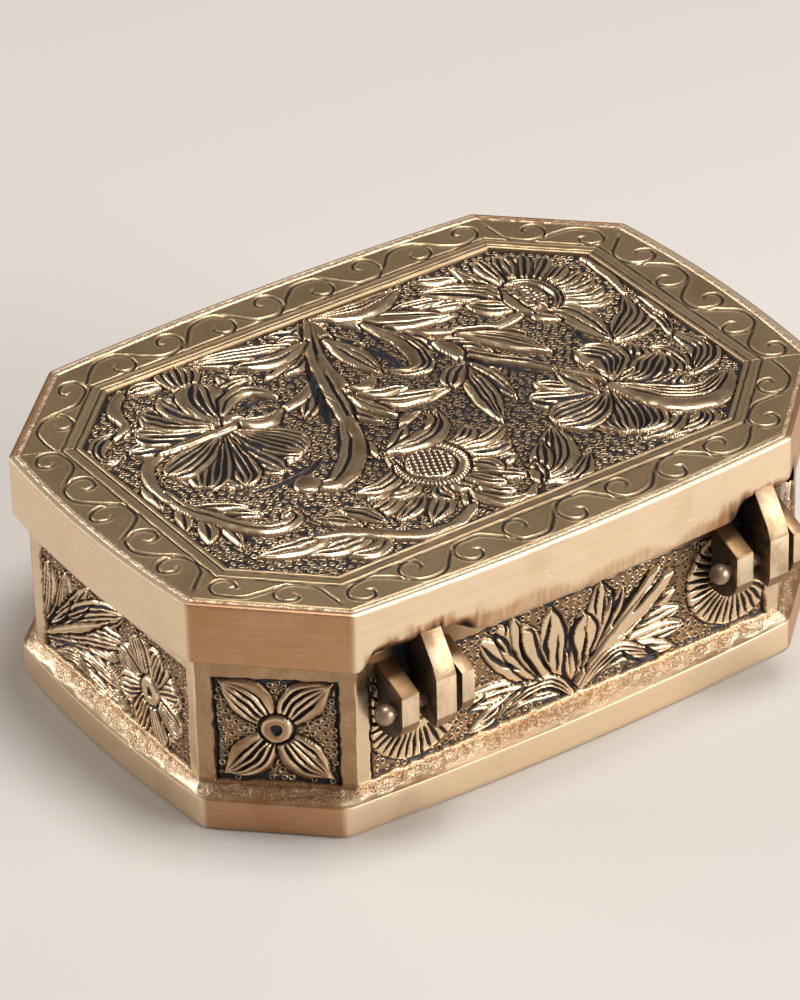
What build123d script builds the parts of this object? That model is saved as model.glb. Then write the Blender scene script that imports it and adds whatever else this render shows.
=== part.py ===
from build123d import *
import math
import os

# Brass storage box, millimetres. +X is the right-hand end, +Y the back with the hinges, +Z up.
# The origin is the middle of the underside, on the surface that the box stands on.

# Plan of the lid over its eight corners, before its long sides bow out
lid_length = 150.0
lid_width = 108.0
lid_corner_cut = (23.2, 22.2)
side_bow = 2.0

# How far walls and foot stand in from the lid. A corner cut is what a slanting corner takes of the
# side along X and of the side along Y
wall_setback_ends = 2.4
wall_setback_sides = 4.0
wall_right_corner_cut = (23.2, 20.2)
wall_left_corner_cut = (20.0, 20.2)
foot_setback_ends = 1.0
foot_setback_sides = 1.9
foot_corner_cut = (20.3, 19.0)
foot_corner_radius = 4.0
lid_corner_radius = 1.0

# Heights, from the underside up
foot_height = 8.0
wall_height = 30.2
lid_gap = 0.3
rim_height = 13.5

# Foot band and the floor let into it
braze_slope_height = 1.3
braze_slope_width = 1.3
floor_thickness = 2.0
floor_seat = 2.0

# Wall plates, each with a sunk field in a plain border
wall_thickness = 3.2
field_depth = 1.3
post_width = 3.2
bottom_rail = 1.2
top_rail = 5.0
relief_height = 1.1
relief_margin = 0.4

# Lid: a plate let into the rim, with a sunk panel inside two cut lines
lid_plate_thickness = 3.0
seam_inset = 1.8
rim_edge_bevel = 0.6
outer_line_inset = 11.0
line_width = 0.7
line_depth = 0.4
panel_inset = 13.3
panel_depth = 1.0
lid_relief_height = 0.9

# Hinges: each lid lug's middle stands in from the end of the back wall that is nearer to it
hinge_right_setback = 14.2
hinge_left_setback = 8.0
pin_out = 5.7
pin_height = 28.2
pin_diameter = 2.6
pin_running_clearance = 0.06
pin_seat_clearance = 0.02
pin_tail = 0.7
ball_diameter = 4.2
lid_lug_width = 4.6
outer_gap = 2.8
outer_lug_width = 4.2
inner_gap = 2.4
inner_lug_width = 2.9

# Side view of a wall lug, outwards and upwards from the pin's axis
wall_lug_top = 7.8
wall_lug_shoulder = 4.2
wall_lug_front = 2.8
wall_lug_knee = -2.4
wall_lug_chin = (0.8, -5.8)
wall_lug_foot = (-3.0, -7.3)

# Side view of a lid lug, outwards and upwards from the pin's axis
lid_lug_root = (-2.6, 17.4)
lid_lug_brow = (3.2, 9.0)
lid_lug_shoulder = 6.2
lid_lug_front = 4.3
lid_lug_knee = -2.6
lid_lug_tail = (3.6, -4.9)
lid_lug_round = 4.6

# Filed bevel along the rim's lower edge, beside and behind each lid lug
bevel_height = 4.2
bevel_cut = 3.0
bevel_reach_outer = 15.0
bevel_reach_inner = 10.5

wall_top = foot_height + wall_height
lid_bottom = wall_top + lid_gap
lid_top = lid_bottom + rim_height
field_bottom = foot_height + bottom_rail
field_top = wall_top - top_rail
field_middle = (field_bottom + field_top) / 2
ball_radius = ball_diameter / 2
back_wall_right = lid_length / 2 - wall_setback_ends - wall_right_corner_cut[0]
back_wall_left = wall_left_corner_cut[0] + wall_setback_ends - lid_length / 2
hinge_right_x = back_wall_right - hinge_right_setback
hinge_left_x = back_wall_left + hinge_left_setback
SIDE_NAMES = (
    "back",
    "corner_back_left",
    "left",
    "corner_front_left",
    "front",
    "corner_front_right",
    "right",
    "corner_back_right",
)


class Octagon:
    """An oblong plan whose four corners are cut off. Corners run anticlockwise from the back right."""

    def __init__(self, length, width, right_cut, left_cut):
        self.length = length
        self.width = width
        self.right_cut = right_cut
        self.left_cut = left_cut

    def corners(self):
        end = self.length / 2
        side = self.width / 2
        right_x = end - self.right_cut[0]
        right_y = side - self.right_cut[1]
        left_x = self.left_cut[0] - end
        left_y = side - self.left_cut[1]
        return [
            (right_x, side),
            (left_x, side),
            (-end, left_y),
            (-end, -left_y),
            (left_x, -side),
            (right_x, -side),
            (end, -right_y),
            (end, right_y),
        ]

    def inset(self, distance):
        """The plan with all eight sides moved in by a distance."""
        return Octagon(
            self.length - 2 * distance,
            self.width - 2 * distance,
            inset_cut(self.right_cut, distance),
            inset_cut(self.left_cut, distance),
        )

    def face(self, bow=0.0):
        """The plan as a face. With a bow, the four long sides bulge out by it at their middle."""
        corners = self.corners()
        edges = []
        for index, start in enumerate(corners):
            end = corners[(index + 1) % len(corners)]
            if bow and index % 2 == 0:
                middle = ((start[0] + end[0]) / 2, (start[1] + end[1]) / 2)
                outward = side_normal(start, end)
                crown = (middle[0] + bow * outward[0], middle[1] + bow * outward[1])
                edges.append(ThreePointArc(start, crown, end))
            else:
                edges.append(Line(start, end))
        return make_face(edges)


def inset_cut(cut, distance):
    """What a corner takes of its two sides once it and they have moved in by a distance."""
    lost = distance * (cut[0] + cut[1] - math.hypot(*cut))
    return (cut[0] - lost / cut[1], cut[1] - lost / cut[0])


def side_normal(start, end):
    """The outward direction of one side of an anticlockwise plan."""
    run = math.dist(start, end)
    return ((end[1] - start[1]) / run, (start[0] - end[0]) / run)


lid_plan = Octagon(lid_length, lid_width, lid_corner_cut, lid_corner_cut)
wall_plan = Octagon(
    lid_length - 2 * wall_setback_ends,
    lid_width - 2 * wall_setback_sides,
    wall_right_corner_cut,
    wall_left_corner_cut,
)
foot_plan = Octagon(
    lid_length - 2 * foot_setback_ends,
    lid_width - 2 * foot_setback_sides,
    foot_corner_cut,
    foot_corner_cut,
)
inside_plan = wall_plan.inset(wall_thickness)
pin_y = wall_plan.width / 2 + pin_out


def foot_band():
    """Eight-sided foot. Its top edge slopes up to the walls. A rebate underneath holds the floor."""
    band = extrude(foot_plan.face(side_bow), foot_height)
    band = fillet(band.edges().filter_by(Axis.Z), foot_corner_radius)
    top = band.faces().sort_by(Axis.Z)[-1]
    band = chamfer(top.edges(), braze_slope_height, braze_slope_width, reference=top)
    band -= extrude(inside_plan.face(), foot_height)
    return band - floor_plate()


def floor_plate():
    """Floor, let into the foot band from below and flush with its underside."""
    return extrude(inside_plan.inset(-floor_seat).face(), floor_thickness)


def leaf(root, angle, reach, breadth):
    """Outline of a pointed leaf that grows from its root along an angle in degrees."""
    tip_x = root[0] + reach * math.cos(math.radians(angle))
    tip_y = root[1] + reach * math.sin(math.radians(angle))
    tip = (tip_x, tip_y)
    return make_face([SagittaArc(root, tip, breadth / 2), SagittaArc(tip, root, breadth / 2)])


def fan(root, first_angle, last_angle, blades, reach, breadth):
    """Leaves spread evenly between two angles about one root."""
    step = (last_angle - first_angle) / (blades - 1)
    outline = Sketch()
    for index in range(blades):
        outline += leaf(root, first_angle + index * step, reach, breadth)
    return outline


def flower(centre, radius, petals, boss_radius, first_angle=0.0):
    """Petals all round a centre boss."""
    turn = 360 / petals
    petal_breadth = 2 * math.pi * radius * 0.6 / petals
    outline = fan(centre, first_angle, first_angle + 360 - turn, petals, radius, petal_breadth)
    return outline + Pos(*centre) * Circle(boss_radius)


def corner_ornament(run):
    """Four pointed leaves to the field's corners about a ring boss."""
    half_field = run / 2 - post_width
    half_height = (field_top - field_bottom) / 2
    reach = math.hypot(half_field, half_height) - 1.5
    slope = math.degrees(math.atan2(half_height, half_field))
    centre = (0, field_middle)
    outline = Pos(*centre) * Circle(3.0)
    for angle in (slope, 180 - slope, 180 + slope, -slope):
        outline += leaf(centre, angle, reach, 7.0)
    return outline - Pos(*centre) * Circle(1.2)


def end_ornament(run):
    """A daisy towards the back, and a fan of fern leaves that spreads from the front lower corner."""
    half_field = run / 2 - post_width
    daisy = flower((12.8, field_middle - 0.6), 10.5, 8, 3.0)
    fern = fan((-half_field + 1, field_bottom + 3), 8, 62, 4, 22, 4.5)
    return daisy + fern


def side_ornament(run):
    """A plant in the middle and a rosette under each hinge. Along the wall, X runs backwards here."""
    plant = fan((0, field_bottom), 15, 165, 9, 20, 3.4)
    outline = plant
    for hinge_x in (hinge_right_x, hinge_left_x):
        outline += flower((-hinge_x, field_bottom + 10), 9.5, 12, 3.0)
    return outline


def wall_plate(index):
    """One wall, mitred to its neighbours, with a sunk field that carries the cast ornament."""
    outer = wall_plan.corners()
    inner = inside_plan.corners()
    following = (index + 1) % len(outer)
    start = outer[index]
    end = outer[following]
    footprint = make_face(Polyline(start, end, inner[following], inner[index], close=True))
    blank = Pos(0, 0, foot_height) * extrude(footprint, wall_height)
    run = math.dist(start, end)
    normal = side_normal(start, end)
    along = ((end[0] - start[0]) / run, (end[1] - start[1]) / run, 0)
    middle = ((start[0] + end[0]) / 2, (start[1] + end[1]) / 2)
    floor_origin = (middle[0] - field_depth * normal[0], middle[1] - field_depth * normal[1], 0)
    field_floor = Plane(origin=floor_origin, x_dir=along, z_dir=(normal[0], normal[1], 0))
    field = Pos(0, field_middle) * Rectangle(run - 2 * post_width, field_top - field_bottom)
    plate = blank - extrude(field_floor * field, 2 * field_depth)
    name = SIDE_NAMES[index]
    if name.startswith("corner"):
        ornament = corner_ornament(run)
    elif name in ("left", "right"):
        ornament = end_ornament(run)
    else:
        ornament = Pos(middle[0], 0) * side_ornament(run)
    margin_field = Rectangle(run - 2 * (post_width + relief_margin), field_top - field_bottom - 2 * relief_margin)
    ornament = ornament & Pos(0, field_middle) * margin_field
    plate += extrude(field_floor * ornament, relief_height)
    if name == "back":
        plate += hinge_seats(field_floor, middle[0]) & blank
    return plate


def hinge_seats(field_floor, middle_x):
    """Raised pads in the back wall's field, level with its border, that the wall lugs are brazed to."""
    seats = Part()
    pad_bottom = pin_height + wall_lug_foot[1]
    for hinge_x in (hinge_right_x, hinge_left_x):
        for first, last in wall_lug_spans(hinge_x):
            pad = Rectangle(last - first, field_top - pad_bottom)
            place = Pos(middle_x - (first + last) / 2, (field_top + pad_bottom) / 2)
            seats += extrude(field_floor * (place * pad), field_depth)
    return seats


def wall_lug_spans(hinge_x):
    """Where a hinge's inner and outer wall lugs lie along X."""
    lid_lug_half = lid_lug_width / 2
    inner_end = hinge_x - lid_lug_half - inner_gap
    outer_start = hinge_x + lid_lug_half + outer_gap
    return ((inner_end - inner_lug_width, inner_end), (outer_start, outer_start + outer_lug_width))


def hinge_bore(hinge_x, clearance):
    """A rod along the pin's axis, wider than the pin by a clearance all round."""
    reach = 4 * lid_lug_width
    rod = Cylinder(pin_diameter / 2 + clearance, 2 * reach, rotation=(0, 90, 0))
    return Pos(hinge_x, pin_y, pin_height) * rod


def wall_lug(first, last):
    """Faceted lug on the back wall, with a rounded chin, bored for the pin."""
    wall = -pin_out
    edges = [
        Line((wall, wall_lug_top), (wall_lug_front, wall_lug_shoulder)),
        Line((wall_lug_front, wall_lug_shoulder), (wall_lug_front, wall_lug_knee)),
        ThreePointArc((wall_lug_front, wall_lug_knee), wall_lug_chin, wall_lug_foot),
        Line(wall_lug_foot, (wall, wall_lug_foot[1])),
        Line((wall, wall_lug_foot[1]), (wall, wall_lug_top)),
    ]
    side_view = Plane(origin=(first, pin_y, pin_height), x_dir=(0, 1, 0), z_dir=(1, 0, 0))
    lug = extrude(side_view * make_face(edges), last - first)
    return lug - hinge_bore((first + last) / 2, pin_seat_clearance)


def lid_lug(hinge_x, rim):
    """Taller lug that wraps the rim's lower edge. Its tail meets the wall and stops the open lid."""
    rim_bottom = lid_bottom - pin_height
    round_side = -lid_lug_round * math.sqrt(0.5)
    edges = [
        Line(lid_lug_root, lid_lug_brow),
        Line(lid_lug_brow, (lid_lug_front, lid_lug_shoulder)),
        Line((lid_lug_front, lid_lug_shoulder), (lid_lug_front, lid_lug_knee)),
        Line((lid_lug_front, lid_lug_knee), lid_lug_tail),
        Line(lid_lug_tail, (0, -lid_lug_round)),
        ThreePointArc((0, -lid_lug_round), (round_side, round_side), (-lid_lug_round, 0)),
        Line((-lid_lug_round, 0), (-lid_lug_round, rim_bottom + bevel_height)),
        Line((-lid_lug_round, rim_bottom + bevel_height), lid_lug_root),
    ]
    first = hinge_x - lid_lug_width / 2
    side_view = Plane(origin=(first, pin_y, pin_height), x_dir=(0, 1, 0), z_dir=(1, 0, 0))
    lug = extrude(side_view * make_face(edges), lid_lug_width)
    return lug - hinge_bore(hinge_x, pin_running_clearance) - rim


def hinge_pin(hinge_x):
    """Pin with a ball head on its outer end."""
    spans = wall_lug_spans(hinge_x)
    start = spans[0][0] - pin_tail
    head = spans[1][1] + ball_radius
    rod = Cylinder(pin_diameter / 2, head - start, rotation=(0, 90, 0))
    pin = Pos((start + head) / 2, pin_y, pin_height) * rod
    return pin + Pos(head, pin_y, pin_height) * Sphere(ball_radius)


def rim_bevel(hinge_x):
    """The wedge filed off the rim's lower outer edge about one hinge."""
    face_y = lid_width / 2 + side_bow
    deepest = lid_width / 2 - bevel_cut
    edges = Polyline(
        (deepest, lid_bottom),
        (lid_width / 2 + side_bow / 2, lid_bottom + bevel_height),
        (face_y, lid_bottom + bevel_height),
        (face_y, lid_bottom),
        close=True,
    )
    start = hinge_x - bevel_reach_inner
    side_view = Plane(origin=(start, 0, 0), x_dir=(0, 1, 0), z_dir=(1, 0, 0))
    return extrude(side_view * make_face(edges), bevel_reach_inner + bevel_reach_outer)


def lid_rim():
    """Deep rim of the lid. A rebate in its top holds the lid plate."""
    rim = extrude(lid_plan.face(side_bow), rim_height)
    rim = fillet(rim.edges().filter_by(Axis.Z), lid_corner_radius)
    rim = chamfer(rim.edges().group_by(Axis.Z)[-1], rim_edge_bevel)
    rim -= extrude(inside_plan.face(), rim_height)
    plate = extrude(lid_plan.inset(seam_inset).face(side_bow), lid_plate_thickness)
    rim -= Pos(0, 0, rim_height - lid_plate_thickness) * plate
    rim = Pos(0, 0, lid_bottom) * rim
    for hinge_x in (hinge_right_x, hinge_left_x):
        rim -= rim_bevel(hinge_x)
    return rim


def bent_leaf(root, bend, tip, breadth):
    """Outline of a pointed leaf that bends past a point between its root and its tip."""
    run = math.dist(root, tip)
    side = (breadth / 2 * (root[1] - tip[1]) / run, breadth / 2 * (tip[0] - root[0]) / run)
    left = (bend[0] + side[0], bend[1] + side[1])
    right = (bend[0] - side[0], bend[1] - side[1])
    return make_face([ThreePointArc(root, left, tip), ThreePointArc(tip, right, root)])


def lid_flowers():
    """The petals of two lilies, a sunflower and a half sunflower, drawn as their main masses."""
    petals = (
        ((-35, 17), (-32.6, 26), (-29.2, 33.8), 11),
        ((-34, 18), (-27, 21.2), (-18.4, 21.4), 9),
        ((-33, 17), (-26, 15.2), (-19.6, 11.2), 6),
        ((-36, 15), (-43, 12.6), (-48, 6.4), 7),
        ((-37, 15), (-41, 8), (-37.2, 2.6), 8),
        ((-36, 17), (-43.6, 18.6), (-50.8, 14.4), 7),
        ((-36, 17), (-45, 27), (-58, 26.4), 8),
        ((34.6, -14), (31.2, -5.8), (27.4, 1.2), 11),
        ((36.4, -13), (41, -5), (45, 3.4), 11),
        ((37, -14), (45, -10), (53.2, -7.6), 7),
        ((36, -16), (45, -18.2), (54.4, -20.4), 7),
        ((36, -17), (40.6, -24), (42.4, -31.4), 10),
        ((34.6, -18), (33.6, -25.4), (30.6, -32.4), 8),
        ((33.6, -19), (26, -24.6), (20.4, -21), 5),
        ((22.4, -14.8), (27, -13.4), (33, -16), 5),
        ((-45, -14), (-51, -10.8), (-56, -10.8), 4),
        ((-45, -18), (-51, -17), (-56.6, -17.8), 5),
        ((-45, -21), (-51, -23), (-55.6, -26), 5),
        ((-44, -24), (-48, -29), (-52, -33.4), 5),
        ((-42, -25), (-44, -31), (-45, -37), 5),
        ((4, 23), (0, 27), (-3, 33), 6),
        ((3, 19), (-3, 21), (-8, 19.6), 6),
        ((14, 21), (20, 21.6), (26, 22.6), 6),
        ((12, 25), (14, 29), (13, 33), 5),
        ((14, 11), (5.4, 11), (-2.8, 3), 5),
    )
    outline = Pos(-41.4, -20.2) * Circle(6.6) + Pos(9.6, 18.6) * Circle(7.6) + Pos(33, 10.6) * Circle(2.8)
    for petal in petals:
        outline += bent_leaf(*petal)
    return outline


def lid_ornament():
    """Flowers and leaves on stems that grow from the front edge of the panel, as main masses."""
    outline = lid_flowers()
    stems = (
        ((-1, -38.6), (-14.2, -23.6), (-30.6, 7), 3),
        ((-12, -25.6), (-24, -17.2), (-39, -18), 2.3),
        ((-1, -38.6), (8, -20), (17, 4), 3.2),
        ((13.6, -3.6), (21.4, 8.2), (33, 11.6), 4.4),
        ((5, -25.6), (13, -18.2), (24, -14.6), 2.4),
        ((12, 36.6), (27, 36.8), (43, 27), 2.8),
        ((57, -4), (54.6, 10), (43, 19.6), 3.2),
        ((50, -25.6), (50, -33), (41, -38.8), 2.2),
    )
    for start, middle, end, width in stems:
        outline += trace(ThreePointArc(start, middle, end), line_width=width)
    leaves = (
        ((-45, 33), (-41.5, 38), (-33, 38.4), 4.6),
        ((-57.4, 9), (-58, 17), (-50.6, 23), 5),
        ((-58, -8), (-53.8, 0), (-45.6, 4), 7),
        ((-5, 37.4), (-12, 36), (-18, 28), 8),
        ((-8, 34), (-13.6, 28.6), (-17.2, 21.8), 5),
        ((-3, 37), (4, 37.6), (8.8, 30), 4),
        ((15, 27.6), (19.6, 31.6), (26, 33), 6),
        ((31, 33), (38.6, 34.8), (46.6, 32.4), 5.4),
        ((38, 28.4), (46, 27.6), (55, 26), 4.8),
        ((32, 29), (33.6, 25), (38, 21.6), 5),
        ((55.6, 6), (50.4, 10.4), (45.6, 13.6), 5),
        ((56, 9), (57.8, 14), (58.6, 19), 5),
        ((56, -11.4), (58.4, -5), (60, 1), 3.8),
        ((51, -26), (58, -25), (57.4, -18.8), 3.4),
        ((33, -33.4), (32, -36.6), (31, -39.8), 7),
        ((6, -30), (12, -27.4), (18.6, -26.2), 4.6),
        ((5, -32.4), (14, -31.4), (21, -33.6), 3.6),
        ((7, -33), (16, -35.4), (27, -39), 5.6),
        ((-5, -36), (-14, -29.8), (-26, -23.4), 6),
        ((-3, -38.6), (-12, -36.4), (-23.2, -38.4), 4.6),
        ((-37.6, -19), (-34.6, -27.6), (-25, -34.6), 6),
        ((-39.6, -16), (-45, -9), (-46, 2.6), 5),
        ((-36.6, -27), (-36.8, -33), (-35.8, -39), 3.4),
        ((-16.6, -17), (-21.6, -13.2), (-22.4, -8.4), 6),
        ((-22.6, -16.6), (-28.4, -10.2), (-33.6, -0.6), 5.6),
        ((-17, -8), (-16.8, 2), (-17.2, 9.2), 4),
        ((-16, -7.4), (-13.6, 4), (-10.6, 14.6), 4.8),
        ((-15.6, -8), (-12.6, -5), (-9.2, -1.4), 4),
        ((-9, -30.6), (-11.6, -19), (-4, -12.8), 5),
        ((0, -32), (-0.8, -23.4), (-1.6, -14.6), 4.8),
        ((8, -12), (3, -5.4), (-9, -1.6), 5),
        ((9.2, -20), (14.2, -14.6), (18.6, -9.4), 4.4),
    )
    for shape in leaves:
        outline += bent_leaf(*shape)
    return outline


def panel_half_width():
    """From the middle of the lid to the front and back edges of its sunk panel."""
    return lid_width / 2 - panel_inset


def lid_plate():
    """Top of the lid, with two cut lines round a sunk panel of cast flowers."""
    plate = extrude(lid_plan.inset(seam_inset).face(side_bow), lid_plate_thickness)
    plate = Pos(0, 0, lid_top - lid_plate_thickness) * plate
    groove = lid_plan.inset(outer_line_inset).face() - lid_plan.inset(outer_line_inset + line_width).face()
    plate -= Pos(0, 0, lid_top - line_depth) * extrude(groove, line_depth)
    panel = lid_plan.inset(panel_inset).face()
    plate -= Pos(0, 0, lid_top - panel_depth) * extrude(panel, panel_depth)
    ornament = lid_ornament() & lid_plan.inset(panel_inset + relief_margin).face()
    return plate + Pos(0, 0, lid_top - panel_depth) * extrude(ornament, lid_relief_height)


def build_all():
    """Every piece by its node name."""
    pieces = {"foot_band": foot_band(), "floor_plate": floor_plate()}
    for index, name in enumerate(SIDE_NAMES):
        pieces["wall_" + name] = wall_plate(index)
    rim = lid_rim()
    pieces["lid_rim"] = rim
    pieces["lid_plate"] = lid_plate()
    for side, hinge_x in (("right", hinge_right_x), ("left", hinge_left_x)):
        inner_span, outer_span = wall_lug_spans(hinge_x)
        pieces[f"hinge_{side}_inner_lug"] = wall_lug(*inner_span)
        pieces[f"hinge_{side}_outer_lug"] = wall_lug(*outer_span)
        pieces[f"hinge_{side}_lid_lug"] = lid_lug(hinge_x, rim)
        pieces[f"hinge_{side}_pin"] = hinge_pin(hinge_x)
    return pieces


def stop_angle():
    """How far the lid opens, in degrees, before the tails of its lugs meet the wall."""
    tail_radius = math.hypot(*lid_lug_tail)
    start = math.atan2(lid_lug_tail[1], lid_lug_tail[0])
    contact = math.acos(-pin_out / tail_radius)
    return math.degrees(contact + start)


os.makedirs("parts", exist_ok=True)
for node, piece in build_all().items():
    export_step(piece, f"parts/{node}.step")
print(f"the lid stops at {stop_angle():.1f} degrees, on an axis at y {pin_y:.2f}, z {pin_height:.2f}")
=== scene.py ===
import math

import bmesh
import bpy
import numpy as np
from mathutils import Matrix, Vector


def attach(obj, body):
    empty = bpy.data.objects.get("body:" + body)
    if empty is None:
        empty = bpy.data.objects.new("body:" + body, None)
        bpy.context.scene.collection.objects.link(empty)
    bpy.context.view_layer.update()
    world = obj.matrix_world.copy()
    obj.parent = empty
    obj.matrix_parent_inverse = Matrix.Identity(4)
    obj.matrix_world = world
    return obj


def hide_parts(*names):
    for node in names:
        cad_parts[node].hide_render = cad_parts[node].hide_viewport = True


# An eight-sided brass storage box, seen from behind. Metres, Z up, hinges towards +Y. Sizes below
# are in millimetres, as a maker gives them, and each mesh is turned into metres when it is made.
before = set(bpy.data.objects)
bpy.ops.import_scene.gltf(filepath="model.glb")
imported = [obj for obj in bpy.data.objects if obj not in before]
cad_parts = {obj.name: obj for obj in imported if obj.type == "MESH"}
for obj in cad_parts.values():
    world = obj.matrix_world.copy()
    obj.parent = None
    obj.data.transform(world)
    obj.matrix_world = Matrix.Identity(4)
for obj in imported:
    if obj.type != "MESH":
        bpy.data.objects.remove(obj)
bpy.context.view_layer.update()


# Foot band: a strip of cast brass bent round eight corners, filed flat outside, with the rough
# run of brazing metal that joins it to the walls left as it froze along its top edge.
foot_length = 148.0
foot_width = 104.2
foot_cut = (20.3, 19.0)
foot_height = 8.0
foot_rounding = 4.0
ledge_width = 5.2
ledge_height = 6.75
band_step = 0.42
side_bow = 2.0
wall_length = 145.2
wall_width = 100.0
wall_right_cut = (23.2, 20.2)
wall_left_cut = (20.0, 20.2)


def eight_corners(length, width, right_cut, left_cut):
    """The corners of a plan with its corners cut off, anticlockwise from the back right."""
    end = length / 2
    side = width / 2
    return np.array(
        [
            (end - right_cut[0], side),
            (left_cut[0] - end, side),
            (-end, side - left_cut[1]),
            (-end, left_cut[1] - side),
            (left_cut[0] - end, -side),
            (end - right_cut[0], -side),
            (end, right_cut[1] - side),
            (end, side - right_cut[1]),
        ]
    )


def moved_in(corners, distance):
    """The plan with every side moved in by a distance."""
    ahead = np.roll(corners, -1, axis=0) - corners
    along = ahead / np.linalg.norm(ahead, axis=1)[:, None]
    inward = np.stack((-along[:, 1], along[:, 0]), axis=1)
    before = np.roll(inward, 1, axis=0)
    square = 1 + np.sum(inward * before, axis=1)
    return corners + distance * (inward + before) / square[:, None]


def side_of(corners, index):
    """One side of a plan: its ends, its length, and the directions along it and out of it."""
    start = corners[index % 8]
    end = corners[(index + 1) % 8]
    run = np.linalg.norm(end - start)
    along = (end - start) / run
    return start, end, run, along, np.array((along[1], -along[0]))


def plan_loop(corners, bow, rounding, counts):
    """Points once round a plan with bowed long sides and rounded corners, and how far along each lies."""
    half_turn_tangent = 0.414
    reach = max(rounding, 0.05) * half_turn_tangent
    points = []
    walked = []
    for index in range(8):
        start, end, run, along, facing = side_of(corners, index)
        share = np.linspace(reach / run, 1 - reach / run, counts[index])[:, None]
        crown = bow * 4 * share * (1 - share) if index % 2 == 0 else 0 * share
        side = start + share * run * along + crown * facing
        _, _, next_run, turned, next_facing = side_of(corners, index + 1)
        far = end + turned * reach
        if index % 2 == 1:
            far = far + bow * 4 * (reach / next_run) * (1 - reach / next_run) * next_facing
        turn = np.linspace(0, 1, 6)[1:-1, None]
        bend = (1 - turn) ** 2 * side[-1] + 2 * turn * (1 - turn) * end + turn**2 * far
        points += [side, bend]
        walked += [(share[:, 0] - 0.5) * run, np.full(len(bend), run / 2)]
    return np.concatenate(points), np.concatenate(walked)


def waves(points, length, seed, count=14):
    """Soft unevenness between about -1 and 1, of a given wavelength, over any points."""
    dice = np.random.default_rng(seed)
    total = np.zeros(points.shape[:-1])
    for _ in range(count):
        direction = dice.normal(size=points.shape[-1])
        direction /= np.linalg.norm(direction)
        pitch = 2 * math.pi / (length * dice.uniform(0.7, 1.6))
        total += np.sin(points @ (direction * pitch) + dice.uniform(0, 2 * math.pi))
    return total / math.sqrt(count)


def ease(value, low, high):
    """From 0 at low to 1 at high, softly."""
    share = np.clip((value - low) / (high - low), 0, 1)
    return share * share * (3 - 2 * share)


def shown(name, made):
    """A mesh, lamp or camera as an object in the scene."""
    piece = bpy.data.objects.new(name, made)
    bpy.context.scene.collection.objects.link(piece)
    return piece


def mark_points(mesh, mark, values):
    """Gives every point of a mesh a value under a name, for its material to read."""
    layer = mesh.attributes.new(mark, "FLOAT", "POINT")
    layer.data.foreach_set("value", np.asarray(values, np.float32).ravel())


def numbers(items, what, kind=float, each=1):
    """One property of all the points, corners or faces of a mesh."""
    values = np.zeros(len(items) * each, kind)
    items.foreach_get(what, values)
    return values


def metal_mesh(name, points, faces, marks, grain=None):
    """A smooth mesh from points in millimetres, with a value per point for each named mark."""
    mesh = bpy.data.meshes.new(name)
    mesh.from_pydata(np.asarray(points) / 1000, [], np.asarray(faces).tolist())
    for mark, values in marks.items():
        mark_points(mesh, mark, values)
    if grain is not None:
        corners = numbers(mesh.loops, "vertex_index", int)
        layer = mesh.uv_layers.new(name="grain")
        layer.data.foreach_set("uv", np.asarray(grain, np.float32).reshape(-1, 2)[corners].ravel())
    mesh.shade_smooth()
    return shown(name, mesh)


def grid_faces(rows, columns, ring=False, first=0):
    """Four-cornered faces between rows of points. A ring joins its last column to its first."""
    last = columns if ring else columns - 1
    row, column = np.meshgrid(np.arange(rows - 1), np.arange(last), indexing="ij")
    row = row.ravel()
    column = column.ravel()
    following = (column + 1) % columns
    near = row * columns
    far = near + columns
    return np.stack((near + column, near + following, far + following, far + column), axis=1) + first


def outward(piece):
    """Turns every face of a closed piece outwards."""
    work = bmesh.new()
    work.from_mesh(piece.data)
    bmesh.ops.recalc_face_normals(work, faces=work.faces)
    work.to_mesh(piece.data)
    work.free()
    piece.data.update()


def swept_ring(name, corners, profile, shape):
    """A closed band round the plan. Each profile row is (inset, height, bow, rounding, brazed)."""
    runs = np.linalg.norm(np.roll(corners, -1, axis=0) - corners, axis=1)
    counts = np.maximum(2, np.round(runs / band_step).astype(int))
    rows = []
    for inset, height, bow, rounding, _ in profile:
        loop, walked = plan_loop(moved_in(corners, inset), bow, rounding, counts)
        rows.append(np.column_stack((loop, np.full(len(loop), height))))
    points = np.array(rows)
    columns = points.shape[1]
    turns = np.array([row[:2] for row in profile])
    reach = np.concatenate(([0.0], np.cumsum(np.hypot(*np.diff(turns, axis=0).T))))
    grain = np.zeros(points.shape[:2] + (2,))
    grain[..., 0] = walked
    grain[..., 1] = reach[:, None]
    brazed = np.repeat(np.array([[row[4]] for row in profile], float), columns, axis=1)
    points, brazed, patina_and_shade = shape(points, brazed)
    faces = grid_faces(len(points) + 1, columns, ring=True) % (len(points) * columns)
    marks = {"brazed": brazed, "patina_and_shade": patina_and_shade}
    piece = metal_mesh(name, points.reshape(-1, 3), faces, marks, grain / 1000)
    outward(piece)
    piece.data.set_sharp_from_angle(angle=math.radians(30))
    return piece


def add(tree, kind, inputs=None, **settings):
    """A node with its settings, and each input set to a value or joined to another node's output."""
    made = tree.nodes.new(kind)
    for setting, value in settings.items():
        setattr(made, setting, value)
    for socket, value in (inputs or {}).items():
        if isinstance(value, bpy.types.NodeSocket):
            tree.links.new(value, made.inputs[socket])
        else:
            made.inputs[socket].default_value = value
    return made


def maths(tree, operation, first, second, **settings):
    """What a sum, product or other operation on two numbers gives."""
    inputs = {0: first, 1: second}
    return add(tree, "ShaderNodeMath", inputs, operation=operation, **settings).outputs[0]


def vectors(tree, operation, first, second):
    """What an operation on two vectors gives. Scaling takes a number as the second."""
    inputs = {0: first, "Scale" if operation == "SCALE" else 1: second}
    return add(tree, "ShaderNodeVectorMath", inputs, operation=operation).outputs[0]


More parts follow.
